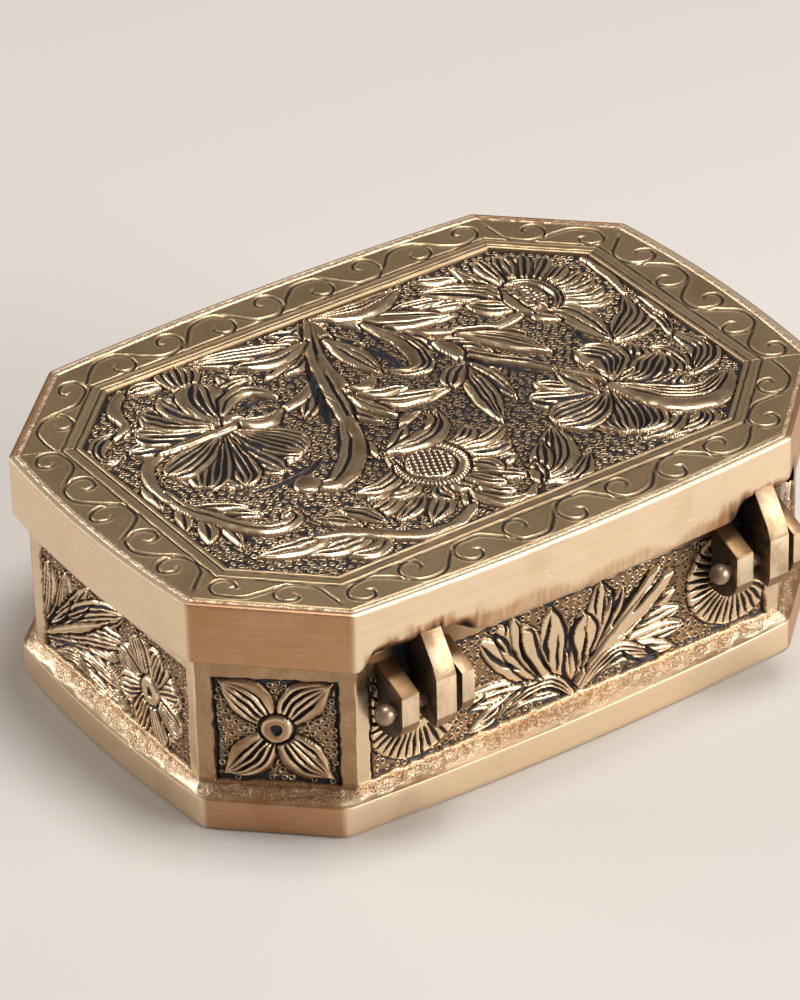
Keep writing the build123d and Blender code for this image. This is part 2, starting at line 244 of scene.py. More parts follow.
def noise(tree, place, scale, detail, roughness=0.6):
    """Clouds from about 0 to 1."""
    inputs = {"Vector": place, "Scale": scale, "Detail": detail, "Roughness": roughness}
    return add(tree, "ShaderNodeTexNoise", inputs).outputs["Fac"]


def ranged(tree, value, low, high, least=0.0, most=1.0, **settings):
    """A number stretched from one range to another, and held inside it."""
    inputs = {"Value": value, "From Min": low, "From Max": high, "To Min": least, "To Max": most}
    return add(tree, "ShaderNodeMapRange", inputs, **settings).outputs["Result"]


def mixed(tree, share, first, second):
    """The number that lies between two numbers."""
    inputs = {"Factor": share, "A": first, "B": second}
    return add(tree, "ShaderNodeMix", inputs, data_type="FLOAT").outputs[0]


def colours_mixed(tree, share, first, second):
    """The colour that lies between two colours."""
    inputs = {0: share, 6: first, 7: second}
    return add(tree, "ShaderNodeMix", inputs, data_type="RGBA").outputs[2]


def bumped(tree, height, depth, below=None):
    """A bump of some depth in metres, on top of another one where that is given."""
    inputs = {"Height": height, "Strength": 1.0, "Distance": depth}
    if below is not None:
        inputs["Normal"] = below
    return add(tree, "ShaderNodeBump", inputs).outputs["Normal"]


def shader_group(name, inputs, outputs):
    """An empty node group. An input is a number or a colour, as its default is, or else a vector."""
    group = bpy.data.node_groups.new(name, "ShaderNodeTree")
    kinds = {float: "NodeSocketFloat", tuple: "NodeSocketColor"}
    for socket, value in inputs.items():
        kind = kinds.get(type(value), "NodeSocketVector")
        made = group.interface.new_socket(socket, in_out="INPUT", socket_type=kind)
        if value is not None:
            made.default_value = value
    given = group.nodes.new("NodeGroupInput")
    for socket, kind in outputs.items():
        group.interface.new_socket(socket, in_out="OUTPUT", socket_type="NodeSocket" + kind)
    return group, given.outputs, group.nodes.new("NodeGroupOutput").inputs


def file_marks_group():
    """Fine strokes of a file or wire brush. Strokes run along the first direction of Place."""
    group, given, result = shader_group(
        "file_marks",
        {"Place": None, "Across": 4000.0, "Along": 90.0, "Wander": 0.0004},
        {"Height": "Float", "Streak": "Float"},
    )
    clouds = {"Vector": given["Place"], "Scale": 60.0, "Detail": 1.0}
    drift = add(group, "ShaderNodeTexNoise", clouds).outputs["Color"]
    centred = vectors(group, "SUBTRACT", drift, (0.5, 0.5, 0.5))
    moved = vectors(group, "ADD", given["Place"], vectors(group, "SCALE", centred, given["Wander"]))
    sizes = {"X": given["Along"], "Y": given["Across"], "Z": given["Across"]}
    stretch = add(group, "ShaderNodeCombineXYZ", sizes).outputs[0]
    strokes = vectors(group, "MULTIPLY", moved, stretch)
    fine = noise(group, strokes, 1.0, 3.0, 0.65)
    broad = noise(group, strokes, 0.17, 2.0, 0.5)
    height = mixed(group, 0.45, fine, broad)
    group.links.new(height, result["Height"])
    group.links.new(ranged(group, height, 0.36, 0.64), result["Streak"])
    return group


def old_brass_group():
    """Brass from rubbed bright to blackened, by a Rubbed mark, with uneven blotches in between."""
    group, given, result = shader_group(
        "old_brass",
        {
            "Place": None,
            "Rubbed": 1.0,
            "Bright": (0.80, 0.60, 0.36, 1),
            "Dull": (0.50, 0.35, 0.19, 1),
            "Black": (0.012, 0.013, 0.02, 1),
            "Blotches": 0.3,
            "Blotch Size": 250.0,
            "Gloss Roughness": 0.3,
            "Dull Roughness": 0.6,
        },
        {"Colour": "Color", "Roughness": "Float", "Metallic": "Float"},
    )
    blotches = noise(group, given["Place"], given["Blotch Size"], 4.0)
    specks = noise(group, given["Place"], 2600.0, 2.0, 0.5)
    centred = maths(group, "SUBTRACT", mixed(group, 0.35, blotches, specks), 0.5)
    uneven = maths(group, "MULTIPLY", centred, given["Blotches"])
    level = maths(group, "ADD", given["Rubbed"], uneven, use_clamp=True)
    bare = ranged(group, level, 0.45, 1.0, interpolation_type="SMOOTHSTEP")
    open_metal = ranged(group, level, 0.12, 0.5, interpolation_type="SMOOTHSTEP")
    worn = colours_mixed(group, bare, given["Dull"], given["Bright"])
    rough = ranged(group, level, 0.0, 1.0, given["Dull Roughness"], given["Gloss Roughness"])
    group.links.new(colours_mixed(group, open_metal, given["Black"], worn), result["Colour"])
    group.links.new(rough, result["Roughness"])
    group.links.new(ranged(group, open_metal, 0.0, 1.0, 0.25), result["Metallic"])
    return group


file_marks = file_marks_group()
old_brass = old_brass_group()


def metal_material(name, rubbed, grain, bump, finish, streaks):
    """A brass finish. Rubbed, grain and bump come from functions of the tree that return sockets."""
    material = bpy.data.materials.new(name)
    material.use_nodes = True
    tree = material.node_tree
    tree.nodes.clear()
    place = add(tree, "ShaderNodeTexCoord").outputs["Object"]
    shades = {"Place": place, "Rubbed": rubbed(tree, place), **finish}
    brass = add(tree, "ShaderNodeGroup", shades, node_tree=old_brass).outputs
    marks = add(tree, "ShaderNodeGroup", grain(tree, place), node_tree=file_marks).outputs
    shaded = ranged(tree, marks["Streak"], 0.0, 1.0, 1.0 - 0.35 * streaks)
    rougher = ranged(tree, marks["Streak"], 0.0, 1.0, 0.08 * streaks, -0.05 * streaks)
    surface = add(
        tree,
        "ShaderNodeBsdfPrincipled",
        {
            "Base Color": vectors(tree, "SCALE", brass["Colour"], shaded),
            "Metallic": brass["Metallic"],
            "Roughness": maths(tree, "ADD", brass["Roughness"], rougher),
            "Normal": bump(tree, place, marks["Height"]),
        },
    )
    output = add(tree, "ShaderNodeOutputMaterial", {"Surface": surface.outputs["BSDF"]})
    output.is_active_output = True
    return material


def attribute(tree, name):
    """What a mesh says about itself at each point."""
    return add(tree, "ShaderNodeAttribute", attribute_name=name).outputs["Fac"]


def rubbed_as_marked(tree, uneven):
    """The mesh says how rubbed each point is, less where it carries painted shade, and the unevenness
    takes some of it away.
    """
    return maths(tree, "MULTIPLY", uneven, attribute(tree, "patina_and_shade"))


def brazing_grains(tree, place):
    """The small grains that brazing metal froze in."""
    return noise(tree, place, 2300.0, 3.0)


def filed_bump(stroke_depth, pit_depth):
    """File strokes and pits, and rough frozen metal where the mesh says that it is brazed."""

    def bump(tree, place, strokes):
        filed = bumped(tree, strokes, stroke_depth)
        dents = ranged(tree, noise(tree, place, 420.0, 3.0), 0.2, 0.36, interpolation_type="SMOOTHSTEP")
        pitted = bumped(tree, dents, pit_depth, filed)
        lumps = maths(tree, "MULTIPLY", brazing_grains(tree, place), attribute(tree, "brazed"))
        return bumped(tree, lumps, 0.00024, pitted)

    return bump


def filed_rubbed(tree, place):
    """Rubbed as marked, but brazing metal keeps dirt between its grains."""
    dirty = ranged(tree, brazing_grains(tree, place), 0.4, 0.58, 0.62)
    return rubbed_as_marked(tree, mixed(tree, attribute(tree, "brazed"), 1.0, dirty))


def strokes_along(across, along, wander, found=None):
    """File strokes, by how close they lie, how short they are and how far they wander."""

    def grain(tree, place):
        start = found(tree, place) if found else place
        return {"Place": start, "Across": across, "Along": along, "Wander": wander}

    return grain


def down_the_strip(tree, place):
    """Distances along and across a strip, in metres."""
    return add(tree, "ShaderNodeUVMap", uv_map="grain").outputs["UV"]


strip_grain = strokes_along(5200.0, 70.0, 0.0002, down_the_strip)
filed_brass = metal_material(
    "brass_filed",
    filed_rubbed,
    strip_grain,
    filed_bump(0.00004, 0.00006),
    {
        "Bright": (0.95, 0.75, 0.52, 1),
        "Dull": (0.50, 0.265, 0.13, 1),
        "Black": (0.03, 0.018, 0.012, 1),
        "Blotches": 0.4,
        "Blotch Size": 60.0,
        "Gloss Roughness": 0.42,
        "Dull Roughness": 0.5,
    },
    streaks=0.32,
)


def beyond(points, corners):
    """How far points lie outside each side of a plan."""
    away = []
    for index in range(8):
        start, _, _, _, facing = side_of(corners, index)
        away.append((points - start) @ facing)
    return np.array(away)


def slanting(points, corners):
    """1 on the four slanting faces of a plan and 0 on the others."""
    away = beyond(points[..., :2], corners)
    return ease(away[1::2].max(axis=0) - away[0::2].max(axis=0), -0.7, 0.7)


def foot_shape(points, brazed):
    """Slopes the top up to the walls, rough where it was brazed. The slanting faces get painted shade,
    darker and browner.
    """
    away = beyond(points[..., :2], wall_corners).max(axis=0)
    first = np.flatnonzero(brazed[:, 0] > 0.9)[0]
    width = away[first]
    slope = 6.72 + 1.6 * (1 - np.clip(away / width, 0, 1)) ** 1.25
    points[..., 2] = np.where(brazed > 0.9, slope, points[..., 2])
    ragged = 0.5 * waves(points, 5.0, 15)
    run = brazed * ease(away + ragged, 0.92 * width, 0.55 * width)
    points[..., 2] += run * (0.10 * waves(points, 2.6, 11, 20) + 0.05 * waves(points, 1.0, 12, 20))
    lean = 0.10 * waves(points * (1, 1, 0.3), 22.0, 13)
    plan = points[..., :2]
    points[..., :2] = plan - 0.0036 * plan * np.clip(lean, 0, 1)[..., None] * (points[..., 2:3] < 7.5)
    patina_and_shade = 1 - 0.12 * ease(waves(points * (1, 1, 0.6), 12.0, 16), 0.2, 1.2)
    # Painted shade: the slanting faces are darkened, less so where brazing metal runs.
    patina_and_shade = patina_and_shade - 0.42 * slanting(points, foot_corners) * (1 - 0.5 * run)
    return points, run, patina_and_shade


def outer_rows(rows, rounding):
    """Profile rows on a bowed outer face, from their insets, heights and brazing."""
    return [(inset, height, side_bow, rounding, brazed) for inset, height, brazed in rows]


def inner_rows(rows):
    """Profile rows on a straight inner face."""
    return [(inset, height, 0.0, 0.05, 0) for inset, height in rows]


foot_corners = eight_corners(foot_length, foot_width, foot_cut, foot_cut)
wall_corners = eight_corners(wall_length, wall_width, wall_right_cut, wall_left_cut)
ledge = [
    (share * ledge_width, ledge_height, side_bow * (1 - share), foot_rounding - 3 * share, 1.0)
    for share in np.linspace(0.04, 1.0, 17)
]
foot_profile = (
    outer_rows(((0.45, 0.0, 0), (0.12, 0.12, 0), (0.0, 0.45, 0)), foot_rounding)
    + outer_rows([(0.0, height, 0) for height in np.linspace(1.2, 6.2, 7)], foot_rounding)
    + outer_rows(((0.03, 6.5, 0), (0.1, 6.68, 0.2)), foot_rounding)
    + ledge
    + inner_rows(((5.4, foot_height), (5.4, 2.05), (3.5, 2.05), (3.5, 0.0)))
)
foot = swept_ring("foot_band_filed", foot_corners, foot_profile, foot_shape)
foot.data.materials.append(filed_brass)
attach(foot, "base")
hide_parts("foot_band")


# Floor: a plain brass plate let into the foot band from below. Its CAD solid is right as it is.
def duller_rubbed(tree, place):
    """Inside and under the box the brass has gone dull, and was never rubbed."""
    return ranged(tree, noise(tree, place, 45.0, 5.0), 0.3, 0.75, 0.42, 0.95)


def plain_bump(tree, place, strokes):
    """File strokes alone."""
    return bumped(tree, strokes, 0.00005)


dull_brass = metal_material(
    "brass_inside",
    duller_rubbed,
    strokes_along(2600.0, 60.0, 0.0006),
    plain_bump,
    {
        "Bright": (0.66, 0.48, 0.27, 1),
        "Dull": (0.36, 0.25, 0.13, 1),
        "Blotches": 0.5,
        "Gloss Roughness": 0.42,
        "Dull Roughness": 0.62,
    },
    streaks=0.7,
)
floor_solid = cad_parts["floor_plate"]
floor_solid.data.materials.clear()
floor_solid.data.materials.append(dull_brass)


# Walls: eight cast brass plates, mitred and brazed together on the foot. Each has a plain border
# round a sunk field, where flowers and leaves stand on a ground struck all over with a ring punch.
# The ornament is chased after casting: every leaf is outlined with a sunk line, and veined.
wall_bottom = foot_height
wall_top = 38.2
field_bottom = 9.2
field_top = 33.2
post_width = 3.2
wall_thickness = 3.2
wall_ground = -0.86
rosette_radius = 11.6
rosette_height = 21.9
hinge_places = (35.2, -44.6)


def spine_points(points):
    """A smooth line through a few points, thick with points of its own."""
    steps = 10
    given = np.array(points, float)
    if len(given) == 2:
        return np.linspace(given[0], given[1], steps + 1)
    before = np.vstack((2 * given[0] - given[1], given[:-1]))
    after = np.vstack((given[2:], 2 * given[-1] - given[-2]))
    line = []
    share = np.linspace(0, 1, steps, endpoint=False)[:, None]
    for p0, p1, p2, p3 in zip(before, given, given[1:], after):
        square = (2 * p0 - 5 * p1 + 4 * p2 - p3) * share**2
        cube = (3 * p1 - p0 - 3 * p2 + p3) * share**3
        line.append(0.5 * (2 * p1 + (p2 - p0) * share + square + cube))
    line.append(given[-1:])
    return np.concatenate(line)


def softened(values, reach):
    """Each value averaged with its neighbours up to a number of steps away."""
    for axis in (0, 1):
        before = np.repeat(np.take(values, [0], axis), reach + 1, axis)
        after = np.repeat(np.take(values, [-1], axis), reach, axis)
        sums = np.cumsum(np.concatenate((before, values, after), axis), axis)
        width = 2 * reach + 1
        high = np.take(sums, np.arange(width, sums.shape[axis]), axis)
        low = np.take(sums, np.arange(0, sums.shape[axis] - width), axis)
        values = (high - low) / width
    return values


class Carving:
    """A sunk field being cast and chased: its height at every point across and up it."""

    def __init__(self, across, up, ground, grime=0.95, outline=0.85, unsteady=0.09):
        self.spots = np.stack((across, up), axis=-1)
        self.across = across + unsteady * waves(self.spots, 4.6, 54)
        self.up = up + unsteady * waves(self.spots, 4.2, 55)
        self.shaken = np.stack((self.across, self.up), axis=-1)
        self.ground = ground
        self.grime = grime
        self.outline = outline
        self.height = np.full(across.shape, float(ground))
        self.bare = np.ones(across.shape)
        self.black = np.zeros(across.shape)
        self.bright = np.zeros(across.shape)
        self.grown = np.zeros(across.shape, bool)

    def window(self, points, margin):
        """Rows and columns that a figure can touch, and where they lie."""
        low = points.min(axis=0) - margin
        high = points.max(axis=0) + margin
        near = (self.across >= low[0]) & (self.across <= high[0])
        near &= (self.up >= low[1]) & (self.up <= high[1])
        rows = np.flatnonzero(near.any(axis=1))
        columns = np.flatnonzero(near.any(axis=0))
        if len(rows) == 0 or len(columns) == 0:
            return None
        return slice(rows[0], rows[-1] + 1), slice(columns[0], columns[-1] + 1)

    def measured(self, part, line):
        """How far each point lies to the left of a line, how far along it, and how far from it."""
        spots = self.shaken[part]
        best = np.full(spots.shape[:2], 1e9)
        side = np.zeros(spots.shape[:2])
        share = np.zeros(spots.shape[:2])
        spans = np.linalg.norm(np.diff(line, axis=0), axis=1)
        walked = np.concatenate(([0.0], np.cumsum(spans)))
        for start, end, span, before in zip(line, line[1:], spans, walked):
            along = (end - start) / span
            offset = spots - start
            ahead = np.clip(offset @ along, 0, span)
            foot = offset - ahead[..., None] * along
            away = np.hypot(foot[..., 0], foot[..., 1])
            closer = away < best
            left = along[0] * offset[..., 1] - along[1] * offset[..., 0]
            best = np.where(closer, away, best)
            side = np.where(closer, np.sign(left) * away, side)
            share = np.where(closer, (before + ahead) / walked[-1], share)
        return side, share, best

    def press(self, part, inside, figure, away, trench_width, black, bright, joined=False):
        """Sinks a line round a figure, then sets the figure itself. Joined stems grow into each other."""
        height = self.height[part]
        trench = self.ground - 0.3
        near = 1 - ease(away, 0.3 * trench_width, trench_width)
        if joined:
            met = inside & self.grown[part] & (height > figure)
            inside = inside & ~met
            near = near * ~(self.grown[part] | met)
            self.grown[part] |= inside
        sunk = np.minimum(height, trench * near + height * (1 - near))
        self.height[part] = np.where(inside, figure, sunk)
        self.bare[part] = np.where(inside | (away < 0.32), 0.0, self.bare[part])
        self.black[part] = np.where(inside, black, np.maximum(self.black[part], self.grime * near))
        self.bright[part] = np.where(inside, bright, self.bright[part] * (1 - near))

    def leaf(
        self,
        points,
        breadth,
        cuts=3,
        top=-0.06,
        fullest=0.5,
        root=0.25,
        point=0.9,
        depth=0.55,
        groove=0.42,
        reach=0.96,
        tilt=None,
        trench_width=None,
        joined=False,
    ):
        """A leaf, petal or stem along a spine from root to tip, with veins cut along it.

        Cuts is how many veins, or where they lie from -1, its right edge, to 1, its left."""
        edge = -0.5
        line = spine_points(points)
        part = self.window(line, breadth / 2 + 1.2)
        if part is None:
            return
        if tilt is None:
            tilt = 0.13 * math.sin(3.1 * points[0][0] + 1.7 * points[-1][0] + 2.3 * points[-1][1])
        side, share, away = self.measured(part, line)
        rising = np.sin(np.clip(share / fullest, 0, 1) * math.pi / 2)
        falling = np.cos(np.clip((share - fullest) / (1 - fullest), 0, 1) * math.pi / 2)
        half = breadth / 2 * np.where(share < fullest, root + (1 - root) * rising, falling**point)
        half = np.maximum(half, 0.05)
        inside = away <= half
        across = np.clip(side / half, -1, 1)
        if isinstance(cuts, int):
            cuts = [2 * (index + 1) / (cuts + 1) - 1 for index in range(cuts)]
        marks = [-1.0, *cuts, 1.0]
        veined = np.zeros(half.shape)
        # The lips are painted bright, rubbed wear and painted highlight together: a band inside the
        # outline and beside every vein.
        lips = 0.25 * np.exp(-(((half - away - 0.34) / 0.2) ** 2)) * ease(half, 0.3, 0.8)
        for before, mark, after in zip(marks, cuts, marks[2:]):
            early = 0.12 + 0.12 * math.sin(9.7 * mark + 5.3 * points[-1][0])
            late = reach + 0.11 * math.sin(7.9 * mark + 3.7 * points[-1][1])
            strong = 1 + 0.28 * math.sin(5.1 * mark + 2.9 * points[0][1] + 1.3 * points[-1][0])
            fading = ease(share, early - 0.1, early + 0.12) * ease(share, late + 0.08, late - 0.14)
            wide = np.minimum(groove * strong, 0.5 * min(mark - before, after - mark) * half)
            wide = wide * (0.15 + 0.85 * fading)
            apart = np.abs(across - mark) * half
            cut = np.clip(1 - (apart / wide) ** 2, 0, 1)
            veined = np.maximum(veined, cut * (0.15 + 0.85 * fading))
            lips = np.maximum(lips, np.exp(-(((apart - wide - 0.12) / 0.15) ** 2)) * fading)
        phase = np.interp(across, marks, np.arange(len(marks)))
        swell = 1 - np.abs(np.sin(math.pi * phase)) ** 0.8
        flute = min(0.26, 0.26 * breadth / (len(cuts) + 1)) if cuts else 0.06
        dome = (1 - across**2) * min(0.30, 0.07 * breadth)
        body = top - 0.26 + dome - flute * swell + tilt * across
        body = body + 0.022 * waves(self.shaken[part], 3.2, 57, 8)
        rim = ease(half - away, -0.05, min(0.7, 0.3 + 0.06 * breadth))
        figure = np.minimum(edge + (body - edge) * rim, 0.0) - depth * veined * (0.35 + 0.65 * rim)
        black = ease(veined, 0.1, 0.6)
        self.press(part, inside, figure, away - half, trench_width or self.outline, black, lips, joined)

    def boss(
        self, centre, radius, top=-0.05, edge=-0.5, hole=0.0, dome=0.25, trench_width=0.5, tall=1.0
    ):
        """A round knob, with a hole struck in its middle where one is given."""
        middle = np.array([centre], float)
        part = self.window(middle, radius * max(1, tall) + 1.2)
        if part is None:
            return
        away = np.hypot(self.across[part] - centre[0], (self.up[part] - centre[1]) / tall)
        inside = away <= radius
        rise = ease(radius - away, 0.0, 0.45)
        figure = edge + (top - dome * (away / radius) ** 2 - edge) * rise
        struck = 0 * away
        if hole:
            struck = 1 - ease(away, hole - 0.25, hole + 0.25)
            figure = figure - 0.6 * struck
        # A bright ring inside the edge: rubbed wear and painted highlight together.
        bright = np.exp(-(((radius - away - 0.4) / 0.25) ** 2))
        self.press(part, inside, figure, away - radius, trench_width, struck, bright)

    def gouge(self, points, width, depth=0.75):
        """A cut with a round gouge, deep and black in the middle, with a bright lip, thin at its ends."""
        drawn = spine_points(points)
        part = self.window(drawn, width + 0.6)
        if part is None:
            return
        _, share, away = self.measured(part, drawn)
        half = np.maximum(width / 2 * np.sin(math.pi * np.clip(share, 0, 1)) ** 0.5, 0.04)
        cut = np.clip(1 - (away / half) ** 2, 0, 1)
        lip = np.exp(-(((away - half - 0.14) / 0.15) ** 2)) * ease(half, 0.08, 0.25)
        self.height[part] = np.maximum(self.height[part] - depth * cut + 0.05 * lip, -1.5)
        self.black[part] = np.maximum(self.black[part] * (1 - lip), ease(cut, 0.05, 0.5))
        lip = lip * (self.height[part] > self.ground + 0.3)
        self.bright[part] = np.maximum(self.bright[part] * (cut <= 0), lip)
        self.bare[part] = np.where(away < half + 0.3, 0.0, self.bare[part])

    def line(self, points, width, depth):
        """A line cut with a graver, with the metal thrown up in a burr beside it."""
        drawn = spine_points(points)
        part = self.window(drawn, width + 0.6)
        if part is None:
            return
        _, share, away = self.measured(part, drawn)
        ends = ease(share, 0.0, 0.06) * ease(share, 1.0, 0.94)
        cut = np.clip(1 - away / (width / 2), 0, 1) ** 0.8 * (0.3 + 0.7 * ends)
        burr = np.exp(-(((away - width * 0.66) / (width * 0.24)) ** 2)) * ends
        self.height[part] = self.height[part] - depth * cut + 0.2 * depth * burr
        self.black[part] = np.maximum(self.black[part] * (1 - burr), ease(cut, 0.25, 0.75))
        self.bright[part] = np.maximum(self.bright[part], burr)

    def rubbed(self, step, low_tone, high_tone):
        """How rubbed each point is: cuts and narrow hollows keep their black, high places are bare."""
        fine = self.height - softened(self.height, max(1, round(0.4 / step)))
        broad = self.height - softened(self.height, max(1, round(1.1 / step)))
        crowd = softened(1 - self.bare, max(1, round(1.6 / step)))
        level = ease(self.height, self.ground - 0.1, -0.28)
        uneven = 0.7 + 0.3 * waves(self.shaken, 3.5, 51)
        tone = low_tone * (1 - 0.9 * crowd)
        tone = tone + (high_tone - tone) * level
        tone = tone + 1.1 * np.clip(fine, -0.3, 0.2) + 0.7 * np.clip(broad, -0.4, 0.35)
        # The bright marks on lips, burrs and knobs are rubbed wear and painted highlight together.
        tone = tone + 0.2 * uneven * self.bright - 0.95 * self.black
        tone = tone + 0.07 * level * waves(self.shaken, 6.0, 52)
        return np.clip(tone, 0, 1)


def pairs(given):
    """Places, from a row of numbers across, up, across, up."""
    return list(zip(given[0::2], given[1::2]))


def gouged(field, rows, depth=0.75):
    """Several cuts with a gouge, each given as its width and the places it runs through."""
    for width, *line in rows:
        field.gouge(pairs(line), width, depth)


def spread(field, start, rows, **shape):
    """Leaves from one spot, each given as its breadth, its veins, and the bend and tip of its spine."""
    for breadth, cuts, *spine in rows:
        field.leaf((start, *pairs(spine)), breadth, cuts, **shape)


def daisy(field, centre, radius, petals, boss_radius):
    """Petals evenly round a boss with a hole in it."""
    centre = np.array(centre)
    for index in range(petals):
        angle = math.radians(22.5 + 360.0 * index / petals)
        heading = np.array((math.cos(angle), math.sin(angle)))
        sideways = np.array((-heading[1], heading[0]))
        start = centre + heading * boss_radius * 0.7
        middle = centre + heading * (radius + boss_radius) * 0.5 + sideways * 0.15
        tip = centre + heading * radius
        width = 2 * math.pi * radius / petals * 1.08 * 0.72
        field.leaf((start, middle, tip), width, 5, fullest=0.72, root=0.45, point=0.5, groove=0.34)
    field.boss(centre, boss_radius, top=-0.02, hole=1.0, dome=0.1, trench_width=0.95)


def rosette(field, centre, radius):
    """A round flower with a ring of wedge-shaped cuts about a small dome, half hidden by a hinge."""
    field.boss(centre, radius, top=-0.08, dome=0.12)
    cuts = 34
    for index in range(cuts):
        angle = 2 * math.pi * index / cuts
        heading = np.array((math.cos(angle), math.sin(angle)))
        start = np.array(centre) + heading * (radius * 0.44)
        tip = np.array(centre) + heading * (radius + 0.5 - 0.9 * (index % 3 == 0))
        field.gouge((start, tip), 1.0, 0.6)
    field.boss(centre, 3.1, top=-0.02, edge=-0.6, dome=0.3)


def back_field(field):
    """A plant of blades in the middle, cut apart with a gouge, and leafy shoots low on both sides."""
    root = (0.6, 10.4)
    rows = (
        (4.6, 2, -12, 15.4, -24.5, 19),
        (4.4, 2, -14, 14.8, -25.5, 16.5),
        (4.4, 2, -13, 13.4, -25, 10.4),
        (4.4, 2, 12, 18, 25.5, 24),
        (5.6, 2, 13, 17.2, 26.5, 19.5),
        (5, 2, 14, 15, 27.5, 15),
        (4, 2, 12, 13.6, 25, 10.6),
    )
    spread(field, root, rows, fullest=0.7, root=0.3, point=0.6)
    rows = (
        (5.4, 0, -13, 21, -21.6, 30.8),
        (5.2, 0, -10, 20, -17.4, 32.4),
        (4.4, 0, -9, 21, -14, 32.8),
        (4.8, 0, -6.5, 19, -11.6, 30.4),
        (5.4, 0, -3.6, 20, -5, 31.6),
        (5.2, 0, 2.4, 18, 2.9, 27.6),
        (4.6, 0, 5.4, 20, 7.2, 32.7),
        (4.2, 0, 7.6, 19.4, 12.6, 30),
        (3.4, 0, 11.5, 21, 21.5, 31),
        (4.6, 0, 13.4, 20, 25, 28.6),
    )
    spread(field, root, rows, fullest=0.66, root=0.4, point=0.55, tilt=0.0)
    field.leaf(((1.0, 8.6), (-5.0, 14.2), (-12.0, 14.2), (-19.0, 10.2)), 3.0, 2, fullest=0.4)
    field.leaf(((1.2, 9.0), (6.0, 13.0), (12.0, 15.0), (21.0, 10.0)), 3.2, 2, fullest=0.4)
    rows = (
        (1.3, -21.4, 29.6, -17.6, 24.3, -12.4, 20.2),
        (0.9, -18.4, 29.7, -15.7, 25.4),
        (1.2, -19.8, 31.7, -16, 28.8, -14.1, 24.6, -11.8, 21.4),
        (0.8, -15, 32.4, -16.2, 29.8),
        (1.3, -13.7, 32.4, -12.4, 30.2, -11.8, 24.6, -9.6, 20.1, -6.7, 15.6),
        (1.3, -11.5, 29.4, -9.3, 28.1, -8.3, 24, -6.7, 19.8, -4.1, 15.2),
        (1.3, -4.9, 30.3, -5.7, 26.5, -6.1, 23.3, -5.4, 19),
        (1.1, -3.2, 24.8, -3.5, 20.8, -3.5, 16),
        (
            1.4, -4.8, 31.5, -3.2, 29.7, -1.6, 26.5, -0.9, 23.3, -1.7, 19.5, -1.9, 15, -0.3, 12.4,
            1.8, 9.4,
        ),
        (1.3, 3, 27.2, 1, 25.3, 0.2, 22.1, 1, 17.9, 1.3, 13.2),
        (1, 2.9, 24.5, 3.6, 21.1, 2.9, 17.6, 2.3, 13.4),
        (1.1, 3, 27.3, 4.9, 25.9, 6.1, 23.3, 5.7, 20.1, 4.1, 15.6, 3, 12),
        (1, 6.7, 32.2, 6, 29.4, 5.8, 25.6),
        (1.2, 8.1, 29.9, 7.9, 27.2, 7.5, 23),
        (1.2, 7.7, 32.5, 9.7, 30.4, 10.4, 28.1, 9.7, 24.6, 8.4, 22.1, 6.5, 18.9, 4.4, 15.2),
        (1.2, 12.7, 29.8, 11.5, 27.5, 10, 24.4),
        (1.1, 19.3, 30.7, 16.1, 27.5, 12.9, 24.6, 9.8, 21),
        (0.9, 22.6, 28.2, 18.6, 25.6, 14.6, 22.7),
        (0.7, 24, 21.6, 17, 20.4, 11, 18.4),
        (0.7, 25, 17.6, 17, 18.2, 10, 16.8),
        (1.2, 12.2, 14.6, 13.8, 12.4, 17.2, 9.6),
        (1.2, 17.4, 12.8, 19.9, 10.5, 22.6, 9.4),
        (1.1, -12.5, 12.4, -7.7, 13.3, -4.4, 12.1, -1.9, 10.2, 0.2, 8.2),
        (0.9, -20, 17.6, -13, 17.4, -7.4, 15.6),
        (0.6, -21, 16.8, -16, 16.2),
        (0.7, -17.6, 14, -13.4, 15.1, -8, 15.2),
        (0.6, -22.5, 11.2, -18.6, 12.2, -15.8, 14),
        (0.6, -20, 10, -16.4, 11.2, -13.8, 13.4),
        (1, -26.2, 15.2, -22.4, 16.6, -20.6, 17.6),
    )
    gouged(field, rows)


def long_field(field, outer_hinges):
    """The whole long wall: plant and rosettes."""
    back_field(field)
    for place in outer_hinges:
        rosette(field, (place, rosette_height), rosette_radius)


def end_field(field, half_run):
    """A daisy, and a fern that spreads its leaves from the lower corner."""
    root = (-28.6, 10.8)
    rows = (
        (4.4, 3, -27.6, 18.5, -28, 26),
        (5.4, 4, -25, 21, -23.6, 30.6),
        (5.6, 5, -19.6, 20.5, -16.8, 31.6),
        (5.4, 4, -12, 12.4, 4, 10.4),
        (5.6, 5, -12, 15.4, 3.4, 15),
        (5.4, 4, -12, 19, 1, 20.6),
        (5, 4, -16, 22.4, -8.5, 32.2),
        (6.6, 5, -11, 24, 3.8, 32.6),
        (5.4, 4, -10, 21, 4.5, 26.2),
    )
    spread(field, root, rows, fullest=0.66, root=0.2, point=0.6, groove=0.36)
    field.leaf((root, (-19.6, 16.4), (-10.9, 21.7), (-1.0, 28.6)), 1.7, 0, top=-0.02)
    field.leaf(((-22.0, 10.2), (-15.0, 12.2), (-9.0, 10.0)), 3.2, 3)
    rows = (
        (1.1, -27.4, 12.6, -24, 16.4, -21.8, 21),
        (1.1, -23, 15.6, -18.4, 19.8, -15.4, 26),
        (1, -17.4, 19.2, -12.2, 23.4, -7.4, 29.4),
        (1, -28.8, 14, -28.9, 19, -29.2, 23),
        (0.8, -20, 15.6, -12, 17, -3, 17.6),
        (0.8, -22, 13.4, -14, 13.8, -3, 12.4),
        (1.3, 0.6, 24.4, 4, 23.6, 2.6, 17, 4.4, 13.2),
    )
    gouged(field, rows)
    daisy(field, (12.6, 19.9), 11.6, 8, 3.1)


